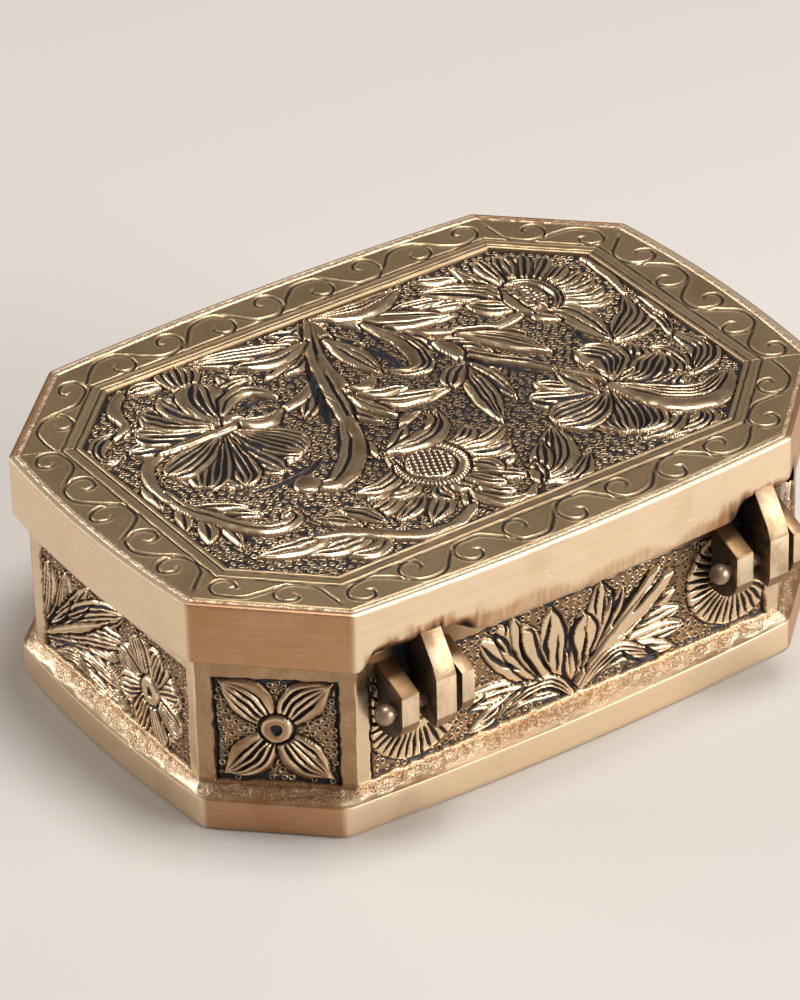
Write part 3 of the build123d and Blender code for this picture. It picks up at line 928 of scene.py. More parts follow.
def corner_field(field, half_run):
    """Four pointed leaves to the corners of the field, about a ring boss."""
    middle = np.array((0.0, (field_bottom + field_top) / 2 + 0.3))
    end = half_run - post_width
    for tip, turn in (
        ((1.4 - end, field_bottom + 1.0), 1),
        ((end - 1.4, field_bottom + 1.0), -1),
        ((1.0 - end, field_top - 0.7), -1),
        ((end - 1.0, field_top - 0.7), 1),
    ):
        start = middle + (np.array(tip) - middle) * 0.1
        run = np.array(tip) - start
        bend = start + run * 0.5 + turn * np.array((-run[1], run[0])) * 0.07
        field.leaf(
            (start, bend, tip),
            8.4,
            (-0.42, -0.08, 0.26, 0.6),
            root=0.35,
            point=1.25,
            depth=0.65,
            reach=0.7,
            trench_width=0.7,
        )
    field.boss(middle, 3.1, top=0.0, edge=-0.35, hole=1.15, dome=0.08, trench_width=0.9)


def wall_border(field, half_run, seed):
    """The plain border, with hand-cut edges, and the deep cut along the sides of the field."""
    wobble = 0.14 * waves(field.shaken, 5.0, seed) + 0.05 * waves(field.shaken, 1.6, seed + 1)
    inner = half_run - post_width
    from_side = inner - np.abs(field.across) + wobble
    from_top = field_top - field.up + wobble
    from_bottom = field.up - field_bottom + wobble
    cut = (1 - ease(from_side, 0.35, 1.0)) * (from_side > 0)
    field.height = np.minimum(field.height, field.height * (1 - cut) - 1.28 * cut)
    shallow = (1 - ease(from_top, 0.1, 0.5)) * (from_top > 0)
    field.height = np.minimum(field.height, field.height * (1 - shallow) - 1.1 * shallow)
    field.black = np.maximum(field.black, np.maximum(cut, 0.5 * shallow))
    field.bare = np.where((from_side < 0.9) | (from_top < 0.8) | (from_bottom < 0.5), 0, field.bare)
    border = np.maximum(1 - ease(from_side, -0.1, 0.12), 1 - ease(from_top, -0.1, 0.12))
    border = np.maximum(border, 1 - ease(from_bottom, -0.2, 0.35))
    flat = 0.02 * waves(field.shaken, 9.0, seed + 2) - 0.02
    flat = flat - 0.07 * ease(-from_side, 0.3, 0.0) - 0.05 * ease(-from_top, 0.25, 0.0)
    field.height = field.height * (1 - border) + flat * border
    return border


def wall_piece(index, name, step, dress):
    """One wall as a closed shell: the carved face, the mitred ends and the plain inside."""
    start, end, run, along, facing = side_of(wall_corners, index)
    columns = round(run / step) + 1
    rows = round((wall_top - wall_bottom) / step) + 1
    reach = np.linspace(-run / 2, run / 2, columns)
    across, up = np.meshgrid(reach, np.linspace(wall_bottom, wall_top, rows))
    field = Carving(across, up, wall_ground, grime=0.6, outline=0.6)
    field.height = field.height + 0.05 * waves(field.spots, 2.2, 40 + index)
    dress(field, run / 2)
    border = wall_border(field, run / 2, 60 + 3 * index)
    # Painted shade: the slanting walls are darker and browner, in the field and on the border.
    corner_shade = 0.44 if index % 2 else 0.0
    rubbed = field.rubbed(step, 0.46 - 0.12 * corner_shade, 0.88 - corner_shade)
    rubbed = rubbed * (1 - border) + (1 - corner_shade) * border
    # Painted shade on the back wall: a band along the top under the lid rim, and the field behind the
    # hinge lugs.
    hinge_and_rail_shade = np.zeros(across.shape)
    if index == 0:
        hinge_and_rail_shade += 0.4 * border * ease(up, field_top - 1.0, field_top + 0.5)
        for hinge_x in hinge_places:
            near = np.exp(-(((across + 1.6 + hinge_x) / 8.0) ** 2))
            hinge_and_rail_shade += near * ease(up, 24.0, 31.0)
    rubbed = np.clip(rubbed - 0.8 * hinge_and_rail_shade, 0, 1)
    brazed = np.clip(border * ease(up, 10.4, 8.9) * 1.2, 0, 1)
    edge = 0.5 * ease(np.abs(across), run / 2 - 0.5, run / 2)
    out = field.height - 0.25 * edge
    middle = (start + end) / 2
    place = np.zeros(across.shape + (3,))
    place[..., :2] = middle + across[..., None] * along + out[..., None] * facing
    place[..., 2] = up
    inner_start, inner_end, *_ = side_of(moved_in(wall_corners, wall_thickness), index)
    loop = np.concatenate(
        (
            np.arange(columns),
            np.arange(1, rows) * columns + columns - 1,
            (rows - 1) * columns + np.arange(columns - 2, -1, -1),
            np.arange(rows - 2, 0, -1) * columns,
        )
    )
    share = (across.ravel()[loop] / run + 0.5)[:, None]
    behind = np.column_stack((inner_start + share * (inner_end - inner_start), up.ravel()[loop]))
    count = rows * columns
    points = np.concatenate((place.reshape(-1, 3), behind))
    faces = grid_faces(rows, columns).tolist()
    size = len(loop)
    for spot in range(size):
        after = (spot + 1) % size
        faces.append([int(loop[spot]), count + spot, count + after, int(loop[after])])
    faces.append([count + spot for spot in range(size - 1, -1, -1)])
    mesh = bpy.data.meshes.new(name)
    mesh.from_pydata(points / 1000, [], faces)
    for mark, values, rest in (("patina_and_shade", rubbed, 1), ("brazed", brazed, 0), ("ground", field.bare, 0)):
        mark_points(mesh, mark, np.concatenate((values.ravel(), np.full(size, float(rest)))))
    mesh.shade_smooth()
    inside = np.arange(len(faces)) >= len(faces) - size - 1
    mesh.attributes.new("sharp_face", "BOOLEAN", "FACE").data.foreach_set("value", inside)
    mesh.polygons.foreach_set("material_index", inside.astype(np.int32))
    mesh.materials.append(carved_brass)
    mesh.materials.append(dull_brass)
    return shown(name, mesh)


chased_grain = strokes_along(1500.0, 700.0, 0.0006)
carved_brass = metal_material(
    "brass_carved",
    filed_rubbed,
    chased_grain,
    filed_bump(0.00005, 0.00004),
    {
        "Bright": (0.92, 0.71, 0.47, 1),
        "Dull": (0.36, 0.215, 0.11, 1),
        "Black": (0.013, 0.012, 0.017, 1),
        "Blotches": 0.4,
        "Blotch Size": 300.0,
        "Gloss Roughness": 0.24,
        "Dull Roughness": 0.5,
    },
    streaks=0.35,
)

wall_sides = (
    ("back", 0.2, lambda field, half_run: long_field(field, (-36.8, 40.0))),
    ("corner_back_left", 0.26, corner_field),
    ("left", 0.26, end_field),
    ("corner_front_left", 0.26, corner_field),
    ("front", 0.26, lambda field, half_run: long_field(field, (-38.0, 38.0))),
    ("corner_front_right", 0.26, corner_field),
    ("right", 0.2, end_field),
    ("corner_back_right", 0.2, corner_field),
)
walls = []
for index, (side, step, dress) in enumerate(wall_sides):
    wall = wall_piece(index, "wall_" + side + "_carved", step, dress)
    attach(wall, "base")
    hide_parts("wall_" + side)
    walls.append(wall)


# Ring punches: the ground between the leaves is struck over and over with a small ring-ended
# punch, which leaves a raised ring with a pit in it. Geometry nodes spread them over the ground.
def ring_punch_tree():
    """Rings with a black pit in them, spread evenly over the bare ground of a carved face."""
    tree = bpy.data.node_groups.new("ring_punches", "GeometryNodeTree")
    for socket, kind in (
        ("Carving", "Geometry"),
        ("Ring Radius", "Float"),
        ("Wire Radius", "Float"),
        ("Spacing", "Float"),
        ("Finish", "Material"),
    ):
        tree.interface.new_socket(socket, in_out="INPUT", socket_type="NodeSocket" + kind)
    tree.interface.new_socket("Rings", in_out="OUTPUT", socket_type="NodeSocketGeometry")
    given = tree.nodes.new("NodeGroupInput").outputs
    result = tree.nodes.new("NodeGroupOutput").inputs

    def step(kind, inputs, **settings):
        return add(tree, "GeometryNode" + kind, inputs, **settings).outputs

    ground = step("InputNamedAttribute", {"Name": "ground"}, data_type="FLOAT")["Attribute"]
    spots = step(
        "DistributePointsOnFaces",
        {
            "Mesh": given["Carving"],
            "Distance Min": given["Spacing"],
            "Density Max": 2400000.0,
            "Density Factor": maths(tree, "GREATER_THAN", ground, 0.98),
            "Seed": 7,
        },
        distribute_method="POISSON",
        use_legacy_normal=False,
    )
    circle = step("CurvePrimitiveCircle", {"Resolution": 8, "Radius": given["Ring Radius"]})
    wire = step("CurvePrimitiveCircle", {"Resolution": 4, "Radius": given["Wire Radius"]})
    ring = step("CurveToMesh", {"Curve": circle["Curve"], "Profile Curve": wire["Curve"]})
    disc = step("MeshCircle", {"Vertices": 8, "Radius": given["Ring Radius"]}, fill_type="NGON")
    lifted = step("Transform", {"Geometry": disc["Mesh"], "Translation": (0.0, 0.0, 0.00005)})
    mark = tree.nodes.new("GeometryNodeJoinGeometry")
    for made, rubbed in ((ring["Mesh"], 1.0), (lifted["Geometry"], 0.25)):
        inputs = {"Geometry": made, "Name": "patina_and_shade", "Value": rubbed}
        stored = step("StoreNamedAttribute", inputs, data_type="FLOAT")
        tree.links.new(stored["Geometry"], mark.inputs["Geometry"])
    smooth = step("SetShadeSmooth", {"Geometry": mark.outputs["Geometry"]})
    sizes = {"Min": 0.82, "Max": 1.12, "Seed": 3}
    placed = step(
        "InstanceOnPoints",
        {
            "Points": spots["Points"],
            "Instance": smooth["Geometry"],
            "Rotation": spots["Rotation"],
            "Scale": add(tree, "FunctionNodeRandomValue", sizes, data_type="FLOAT").outputs["Value"],
        },
    )
    real = step("RealizeInstances", {"Geometry": placed["Instances"]})
    finished = step("SetMaterial", {"Geometry": real["Geometry"], "Material": given["Finish"]})
    tree.links.new(finished["Geometry"], result["Rings"])
    return tree


def punched(name, grounds, sizes):
    """The rings over some carved faces, as a plain mesh of its own."""
    points = []
    faces = []
    bare = []
    count = 0
    for ground in grounds:
        mesh = ground.data
        mark = numbers(mesh.attributes["ground"].data, "value")
        corners = numbers(mesh.loops, "vertex_index", int)
        starts = numbers(mesh.polygons, "loop_start", int)
        totals = numbers(mesh.polygons, "loop_total", int)
        squares = corners[starts[totals == 4][:, None] + np.arange(4)]
        squares = squares[(mark[squares] > 0.5).all(axis=1)]
        points.append(numbers(mesh.vertices, "co", each=3).reshape(-1, 3))
        bare.append(mark)
        faces.append(squares + count)
        count += len(mark)
    mesh = bpy.data.meshes.new(name)
    mesh.from_pydata(np.concatenate(points), [], np.concatenate(faces).tolist())
    mark_points(mesh, "ground", np.concatenate(bare))
    source = shown(name + "_ground", mesh)
    modifier = source.modifiers.new("ring punches", "NODES")
    modifier.node_group = ring_tree
    for item in ring_tree.interface.items_tree:
        if item.name in sizes:
            modifier[item.identifier] = sizes[item.name]
        if item.name == "Finish":
            modifier[item.identifier] = ring_brass
    source.update_tag()
    bpy.context.view_layer.update()
    graph = bpy.context.evaluated_depsgraph_get()
    rings = bpy.data.meshes.new_from_object(source.evaluated_get(graph))
    rings.name = name
    piece = shown(name, rings)
    bpy.data.objects.remove(source)
    bpy.data.meshes.remove(mesh)
    return piece


def ring_rubbed(tree, place):
    """Rings are rubbed on top, some more than others, and least round the stems of the lid."""
    rubbed = ranged(tree, noise(tree, place, 700.0, 2.0, 0.5), 0.3, 0.65, 0.5)
    cloudy = ranged(tree, noise(tree, place, 70.0, 2.0, 0.5), 0.35, 0.6, 0.75)
    from_stems = {0: place, 1: (-0.008, 0.0, 0.052)}
    away = add(tree, "ShaderNodeVectorMath", from_stems, operation="DISTANCE").outputs["Value"]
    cleaner = ranged(tree, away, 0.012, 0.042, 0.5)
    kept = rubbed_as_marked(tree, maths(tree, "MULTIPLY", cloudy, cleaner))
    return maths(tree, "MULTIPLY", rubbed, kept)


ring_brass = metal_material(
    "brass_ring_punched",
    ring_rubbed,
    chased_grain,
    plain_bump,
    {
        "Bright": (0.80, 0.615, 0.40, 1),
        "Dull": (0.36, 0.24, 0.125, 1),
        "Blotches": 0.4,
        "Gloss Roughness": 0.28,
        "Dull Roughness": 0.5,
    },
    streaks=0.2,
)
ring_tree = ring_punch_tree()
wall_rings = punched(
    "wall_ring_punches",
    walls,
    {"Ring Radius": 0.00057, "Wire Radius": 0.0002, "Spacing": 0.00134},
)
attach(wall_rings, "base")


# Lid rim: a deep band of cast brass under and round the lid plate, filed flat by hand. Beside each
# hinge its lower edge is filed away at a slant, so that the lid clears the lugs as it opens.
lid_length = 150.0
lid_width = 108.0
lid_cut = (23.2, 22.2)
lid_bottom = 38.5
lid_top = 52.0
seam_inset = 1.8
plate_thickness = 3.0
filed_height = 4.2
filed_slope = 0.95
hinge_filing = ((hinge_places[0], 15.0, 10.5), (hinge_places[1], 7.5, 12.5))
lid_corners = eight_corners(lid_length, lid_width, lid_cut, lid_cut)


def rim_shape(points, brazed):
    """Slanted filing beside the hinges, painted shade round them, and the unevenness of a hand-held file.
    """
    x = points[..., 0]
    y = points[..., 1]
    z = points[..., 2].copy()
    upright = np.stack((x, z), axis=-1)
    hinge_shade = np.zeros(x.shape)
    for hinge_x, filed_out, filed_in in hinge_filing:
        near = ease(x, hinge_x - filed_in - 1.5, hinge_x - filed_in + 2.5)
        near = near * ease(x, hinge_x + filed_out + 1.5, hinge_x + filed_out - 3.5)
        height = filed_height * near * (1 + 0.10 * waves(upright, 9.0, 31))
        slant = np.clip(lid_bottom + height - z, 0, None) * filed_slope * near
        points[..., 1] = np.where(y > 50.5, y - slant, points[..., 1])
        # Painted shade round each hinge, on the rim's lower edge and on the slanted filing, broken up by
        # file strokes.
        round_it = np.exp(-np.abs((x - hinge_x) / 10.5) ** 3)
        round_it = round_it * ease(z + waves(points, 5.0, 37), 45.6, 41.5)
        strokes = 0.74 + 0.26 * waves(upright * (1, 0.16), 1.5, 30)
        filed = 0.8 * ease(slant, 0.2, 1.2) * (1 - ease(np.abs(x - hinge_x), 11.0, 14.0))
        hinge_shade = np.maximum(hinge_shade, np.where(y > 48, np.maximum(round_it, filed) * strokes, 0))
    lean = 0.05 * waves(points * (1, 1, 0.4), 16.0, 33) + 0.02 * waves(points, 5.0, 34)
    away = points[..., :2] / np.linalg.norm(points[..., :2], axis=-1, keepdims=True)
    face = ease(z, lid_top - 0.3, lid_top - 1.0)
    hollow = np.clip(0.06 + lean, 0.03, None) * face * (1 - brazed)
    points[..., :2] = points[..., :2] - away * hollow[..., None]
    points[..., 2] = z + brazed * (0.08 * waves(points, 1.7, 35, 20) + 0.05 * waves(points, 0.8, 36, 20))
    points[..., 2] = np.minimum(points[..., 2], lid_top)
    handled = ease(z + 1.3 * waves(points * (1, 1, 0), 14.0, 38), 43.0, 40.0)
    handled = handled * (y > 50) * (np.abs(x) < 50)
    fine = waves(np.stack((x, 0.2 * z), axis=-1), 1.3, 32)
    brushed = 0.8 + 0.1 * fine + 0.1 * waves(points, 9.0, 40)
    patina_and_shade = 1 - 0.10 * ease(waves(points * (1, 1, 0.6), 14.0, 39), 0.2, 1.2)
    patina_and_shade = patina_and_shade - 0.36 * handled * brushed
    # Painted shade: the slanting faces are darker, less so where brazed, and round the hinges darker
    # still.
    patina_and_shade = patina_and_shade - 0.44 * slanting(points, lid_corners) * (1 - brazed) - 0.85 * hinge_shade
    return points, brazed, np.clip(patina_and_shade, 0.1, 1)


rim_edge = (
    (0.03, 0.5, 0),
    (0.16, 0.22, 0),
    (0.4, 0.08, 0),
    (0.75, 0.03, 0),
    (1.05, 0.10, 0),
    (1.2, 0.16, 0.3),
    (1.38, 0.05, 0.7),
    (1.6, 0.02, 0.8),
    (1.85, 0.02, 0.8),
    (2.08, 0.06, 0.8),
    (2.25, 0.22, 0.5),
    (2.35, 0.34, 0.2),
)
seat_height = lid_top - plate_thickness + 0.05
rim_profile = (
    outer_rows(((0.7, lid_bottom, 0), (0.25, lid_bottom + 0.06, 0), (0.06, lid_bottom + 0.3, 0)), 1.0)
    + outer_rows([(0.0, height, 0) for height in np.linspace(lid_bottom + 0.8, lid_top - 0.9, 18)], 1.0)
    + outer_rows([(inset, lid_top - drop, brazed) for inset, drop, brazed in rim_edge], 1.0)
    + outer_rows(((2.35, seat_height, 0),), 1.0)
    + inner_rows(((5.6, seat_height), (5.6, lid_bottom)))
)
rim = swept_ring("lid_rim_filed", lid_corners, rim_profile, rim_shape)
rim.data.materials.append(filed_brass)
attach(rim, "lid")
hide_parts("lid_rim")


# Lid plate: one cast plate let into the rim. A plain border with an engraved scroll runs round two
# cut lines, and inside them the panel is sunk and carved with flowers on stems, chased by hand.
panel_inset = 13.3
panel_ground = -0.95
panel_step = 0.17
panel_strips = 5
scroll_pitch = 11.7
scroll_middle = 6.4
underside_drop = 1.9


def scroll_wave(field, half_run, phase):
    """Strokes of a graver along the border, each a wave that ends curled up, turned over by turns."""
    wave = pairs((-0.6, -2.5, 2.2, 0.5, 4.8, 2.6, 7.6, 3.1, 10.3, 2.5, 11.9, 0.4))
    curl = pairs((11.6, -1.7, 9.9, -3, 8, -2.6, 7.2, -1, 8.2, -0.1))
    bays = max(2, round((2 * half_run - 2) / scroll_pitch))
    pitch = (2 * half_run - 2) / bays
    for bay in range(bays):
        sign = 1 if (bay + phase) % 2 == 0 else -1
        start = 1 - half_run + bay * pitch
        tall = 0.96 + 0.08 * math.sin(2.3 * bay + phase)
        stroke = []
        for ahead, rise in wave + curl:
            stroke.append((-start - ahead * pitch / scroll_pitch, scroll_middle - sign * rise * tall))
        field.line(stroke, 0.88, 0.44)


def border_piece(name, sides):
    """Some sides of the border as one shell, from the seam down to the panel."""
    step = 0.2
    points = []
    faces = []
    marks = []
    grains = []
    count = 0
    last = panel_inset + np.array((-0.08, 0.03, 0.12, 0.2))
    insets = np.concatenate((np.arange(seam_inset + 0.1, panel_inset - 0.2, 0.17), last))
    drop = np.array((-0.16, -0.4, -0.8, -1.3))
    for index in sides:
        outer_run = side_of(moved_in(lid_corners, insets[0]), index)[2]
        columns = round(outer_run / step) + 1
        share = np.linspace(0, 1, columns)
        place = np.zeros((len(insets), columns, 3))
        across = np.zeros((len(insets), columns))
        for row, inset in enumerate(insets):
            start, end, length, _, facing = side_of(moved_in(lid_corners, inset), index)
            bow = side_bow * (1 - ease(inset, 2.0, 11.0)) if index % 2 == 0 else 0.0
            crown = bow * 4 * share * (1 - share)
            place[row, :, :2] = start + share[:, None] * (end - start) + crown[:, None] * facing
            across[row] = (share - 0.5) * length
        up = np.repeat(insets[:, None], columns, axis=1)
        field = Carving(across, up, 0.0, unsteady=0.07)
        middle_run = side_of(moved_in(lid_corners, scroll_middle), index)[2]
        scroll_wave(field, middle_run / 2, index // 2)
        depth = up + 0.05 * waves(field.spots, 4.0, 80 + index)
        profile = np.zeros(up.shape)
        for rise, place_in, width in (
            (0.12, 10.5, 0.32),
            (-0.36, 9.85, 0.22),
            (-0.34, 12.2, 0.2),
            (0.12, 12.8, 0.26),
        ):
            profile += rise * np.exp(-(((depth - place_in) / width) ** 2))
        seam = 0.25 * ease(up, seam_inset + 0.9, seam_inset + 0.2)
        uneven = 0.018 * waves(field.spots, 8.0, 90 + index)
        field.height = field.height + profile - seam - 0.13 + uneven
        field.height[-4:] = drop[:, None]
        fine = field.height - softened(field.height, 2)
        # The burrs beside the scroll lines are painted bright: rubbed wear and painted highlight
        # together.
        rubbed = 0.82 + 1.6 * np.clip(fine, -0.25, 0.15) + 0.25 * field.bright - 0.5 * field.black
        rubbed = rubbed + 0.2 * ease(profile, 0.04, 0.1) - 0.7 * ease(profile, -0.1, -0.26)
        rubbed = np.clip(rubbed, 0.02, 1)
        rubbed[-3:] = 0.4
        place[..., 2] = lid_top + np.minimum(field.height, 0)
        points.append(place.reshape(-1, 3))
        faces.append(grid_faces(len(insets), columns, first=count))
        marks.append(rubbed.ravel())
        grains.append(field.spots.reshape(-1, 2))
        count += rubbed.size
    marks = {"patina_and_shade": np.concatenate(marks), "brazed": np.zeros(count)}
    grain = np.concatenate(grains) / 1000
    return metal_mesh(name, np.concatenate(points), np.concatenate(faces), marks, grain)


def solid_from_face(piece, floor):
    """Closes a carved skin from below: its edge goes straight down to a flat underside."""
    work = bmesh.new()
    work.from_mesh(piece.data)
    bmesh.ops.remove_doubles(work, verts=work.verts, dist=1e-7)
    work.normal_update()
    up = sum(face.normal.z for face in work.faces)
    if up < 0:
        bmesh.ops.reverse_faces(work, faces=work.faces)
    rim_edges = [edge for edge in work.edges if edge.is_boundary]
    made = bmesh.ops.extrude_edge_only(work, edges=rim_edges)
    low = [item for item in made["geom"] if isinstance(item, bmesh.types.BMVert)]
    for vertex in low:
        vertex.co.z = floor / 1000
    low_set = set(low)
    low_edges = [edge for edge in work.edges if edge.verts[0] in low_set and edge.verts[1] in low_set]
    sides = [face for face in work.faces if any(vertex in low_set for vertex in face.verts)]
    filled = bmesh.ops.triangle_fill(work, use_beauty=True, use_dissolve=False, edges=low_edges)
    under = [item for item in filled["geom"] if isinstance(item, bmesh.types.BMFace)]
    for face in sides + under:
        face.smooth = False
    bmesh.ops.recalc_face_normals(work, faces=work.faces)
    work.to_mesh(piece.data)
    work.free()
    piece.data.update()


def border_rubbed(tree, place):
    """The border is dull, and a little browner where hands don't reach."""
    return rubbed_as_marked(tree, ranged(tree, noise(tree, place, 60.0, 4.0), 0.3, 0.7, 0.74))


border_brass = metal_material(
    "brass_lid_border",
    border_rubbed,
    strip_grain,
    filed_bump(0.00004, 0.00003),
    {
        "Bright": (0.74, 0.54, 0.32, 1),
        "Dull": (0.36, 0.245, 0.125, 1),
        "Blotches": 0.35,
        "Blotch Size": 160.0,
        "Gloss Roughness": 0.36,
        "Dull Roughness": 0.55,
    },
    streaks=0.8,
)
for name, sides in (("lid_border_back", (0, 1, 2, 7)), ("lid_border_front", (3, 4, 5, 6))):
    border = border_piece(name, sides)
    solid_from_face(border, lid_top - underside_drop)
    border.data.materials.append(border_brass)
    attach(border, "lid")
    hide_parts("lid_plate")


def grow(field, rows, **shape):
    """Several leaves or petals, each given as its breadth, its veins and the places along its spine."""
    fuller = 1.16
    vein_spacing = 1.5
    for breadth, cuts, *spine in rows:
        own = spine.pop() if isinstance(spine[-1], dict) else {}
        breadth = fuller * breadth
        if isinstance(cuts, int) and cuts > 0:
            cuts = max(cuts, round(breadth / vein_spacing) - 1)
        field.leaf(pairs(spine), breadth, cuts, **{**shape, **own})


def about(field, centre, tall):
    """Places across and up from the centre of a seed head, and how far they are from it."""
    x = field.across - centre[0]
    y = field.up - centre[1]
    return x, y, np.hypot(x, y / tall)


def crosshatched(field, centre, radius, pitch, tall):
    """A seed head: a flat knob scored both ways into small squares."""
    field.boss(centre, radius, top=-0.1, edge=-0.6, dome=0.12, tall=tall)
    x, y, away = about(field, centre, tall)
    inside = away < radius - 0.35
    for angle in (math.radians(62), math.radians(-22)):
        row = x * math.cos(angle) + y * math.sin(angle)
        score = 1 - np.abs(np.sin(math.pi * row / pitch)) ** 0.8
        field.height = np.where(inside, field.height - 0.42 * score, field.height)
        field.black = np.where(inside, np.maximum(field.black, ease(score, 0.3, 0.8)), field.black)


def stippled(field, centre, radius, tall, seed):
    """A seed head pitted all over with a point."""
    field.boss(centre, radius, top=-0.12, edge=-0.6, dome=0.15, tall=tall)
    x, y, away = about(field, centre, tall)
    inside = away < radius - 0.2
    pits = waves(np.stack((x, y), axis=-1), 0.95, seed, 24)
    field.height = np.where(inside, field.height - 0.3 * ease(pits, -0.1, 0.9), field.height)
    field.black = np.where(inside, ease(pits, 0.3, 1.1), field.black)
    field.bright = np.where(inside, 1 - ease(pits, -0.4, 0.2), field.bright)


def arched(centre, wide, tall, degrees):
    """Places along an oval arc."""
    places = []
    for angle in np.radians(degrees):
        places.append((centre[0] + wide * math.cos(angle), centre[1] + tall * math.sin(angle)))
    return places


def beaded_ring(field, centre, radius, width, tall, first, last):
    """A ring of small beads round a seed head, from one angle to another in degrees."""
    arc = arched(centre, radius, radius * tall, np.linspace(first, last, 13))
    field.leaf(arc, width, 0, top=-0.05, root=0.8, point=0.25)
    x, y, away = about(field, centre, tall)
    on_ring = (np.abs(away - radius) < width / 2) & (field.height > -0.55)
    bead = 0.75
    beads = np.abs(np.sin(np.arctan2(y / tall, x) * radius * math.pi / bead))
    field.height = np.where(on_ring, field.height - 0.32 * (1 - beads) ** 1.2, field.height)
    field.black = np.where(on_ring, ease(1 - beads, 0.45, 0.9), field.black)


def lid_leaves(field):
    """Leaves that lie behind, round the edge of the panel and between the stems."""
    rows = (
        # back left, above the left lily
        (5.6, (-0.3, 0.1, 0.5), -45.5, 33, -42.5, 38.2, -33, 38.6),
        (2.6, 1, -42, 33, -36, 36.6, -28.8, 36),
        (6, (-0.55, -0.15, 0.25, 0.6), -57.5, 9, -58.6, 17, -50.5, 23.2),
        (3.4, 2, -52, 21, -52.6, 14, -49, 9),
        (8, 5, -58.4, -8.2, -55.5, -1, -45.3, 4),
        (2.6, 2, -58.6, -4.5, -58.8, 3, -56.6, 8.8),
        (1.6, 0, -60.2, -7, -60.6, -2.5, -60.2, 2.5),
        # back middle
        (4.8, 2, -5, 38, -10.5, 38.6, -17.8, 33.8),
        (7.2, (-0.5, -0.15, 0.2, 0.55), -5.2, 36, -11.5, 31.8, -17.4, 21.8),
        (4, 2, -5.6, 35, -8.6, 30.5, -12.2, 25.2),
        (2.6, 1, -4.8, 36.5, -5.8, 33, -7, 30.4),
        (1.8, 0, -3.6, 36.5, -4.4, 34, -4.6, 32.2),
        (3, 1, 2, 36, 4.6, 34.6, 6.6, 30),
        (3, 1, 9.5, 29.8, 10.5, 33.5, 12.5, 36.6),
        (4.4, 2, 14, 27.5, 16, 32, 21, 35.6),
        (3.6, 2, 17, 27, 21, 29.5, 26.2, 31.6),
        (4, 2, 19.5, 24, 25, 26.4, 31, 27),
        (4, (0.1,), 30.6, 34.8, 34.8, 37.4, 40.8, 36.4),
        (4.2, 2, 31.5, 32.4, 39, 33, 47, 31.4),
        (5, (-0.35, 0.25), 37.5, 28.6, 46, 27.9, 55.2, 26),
        (3.4, 2, 33, 29, 34.5, 25.5, 38.8, 21.6),
        (3.6, 2, 28.5, 30.5, 29.8, 25.8, 33.5, 21.4),
        # right edge
        (3.4, 1, 55.5, 6, 50, 11, 45.6, 14.8),
        (2.6, 1, 56, 4, 51, 7.2, 46.4, 10.6),
        (2.6, 1, 54.6, 10, 54, 16, 55, 21.8),
        (3.2, 1, 56, 8, 57.4, 13, 59.6, 16.8),
        (2.8, 1, 57.5, 2, 59, 7, 60.9, 10.4),
        (3.8, (-0.2, 0.35), 56, -11.5, 58.4, -5, 60.4, 1.6),
        (3.4, 2, 50, -25.5, 56.5, -26.2, 60.3, -22.5, 59.8, -18.8, 57, -18.6),
        # front right
        (2.3, 0, 54.5, -25.3, 50.2, -28, 49.6, -33, 46, -37.6, 39.5, -39.8),
        (3.8, 2, 36, -36.2, 39.5, -37.8, 43.6, -37.8),
        (8, 5, 33.2, -33.2, 32, -37, 30.8, -40.4, {"fullest": 0.7, "root": 0.5, "point": 0.45}),
        (3, 1, 6, -29.6, 10, -26.4, 14.6, -25.2),
        (3, 1, 8, -29.8, 13.5, -28.4, 18.6, -26),
        (3, 1, 20.5, -28.5, 24.5, -30, 25.6, -33.6),
        (6.6, (-0.5, -0.15, 0.2, 0.55), 6, -32.6, 15, -35, 28, -39.9),
        (2.6, 1, 1.5, -38.6, 5, -37.4, 9.6, -39.6),
        (2, 1, 4, -33.2, 5.6, -35.6, 9, -36.6),
        # front left
        (3.2, 2, -31.5, -26, -26.5, -27.4, -21.5, -29.4),
        (3.4, 2, -28, -29.6, -22.5, -31.4, -15, -32.6),
        (3, 1, -34.5, -34.5, -30.5, -36.6, -26, -38.8),
        (3, 1, -38, -26, -36.6, -33, -35.6, -39.4),
        # between the stems
        (3.2, 2, -28, -15.5, -31.6, -12.4, -33.8, -9),
        (2.6, 2, -20.6, -7, -21.8, -3.4, -21.2, 1),
        (3.2, 2, -0.6, -34, -2, -28.6, -5, -25),
        (3, 1, 9.2, -20.4, 14.2, -14.4, 18.2, -9.2),
        (2.4, 1, 13, -17.2, 16.8, -13.4, 19.8, -9.8),
        (2.4, 1, 9.2, -10, 10.6, -4.5, 8.4, 1),
        (1.8, 0, 0.5, 2, 4, 2.6, 7, 4.6),
        (2, 0, 15.2, 2, 15.8, 7, 16.4, 11),
    )
    grow(field, rows)


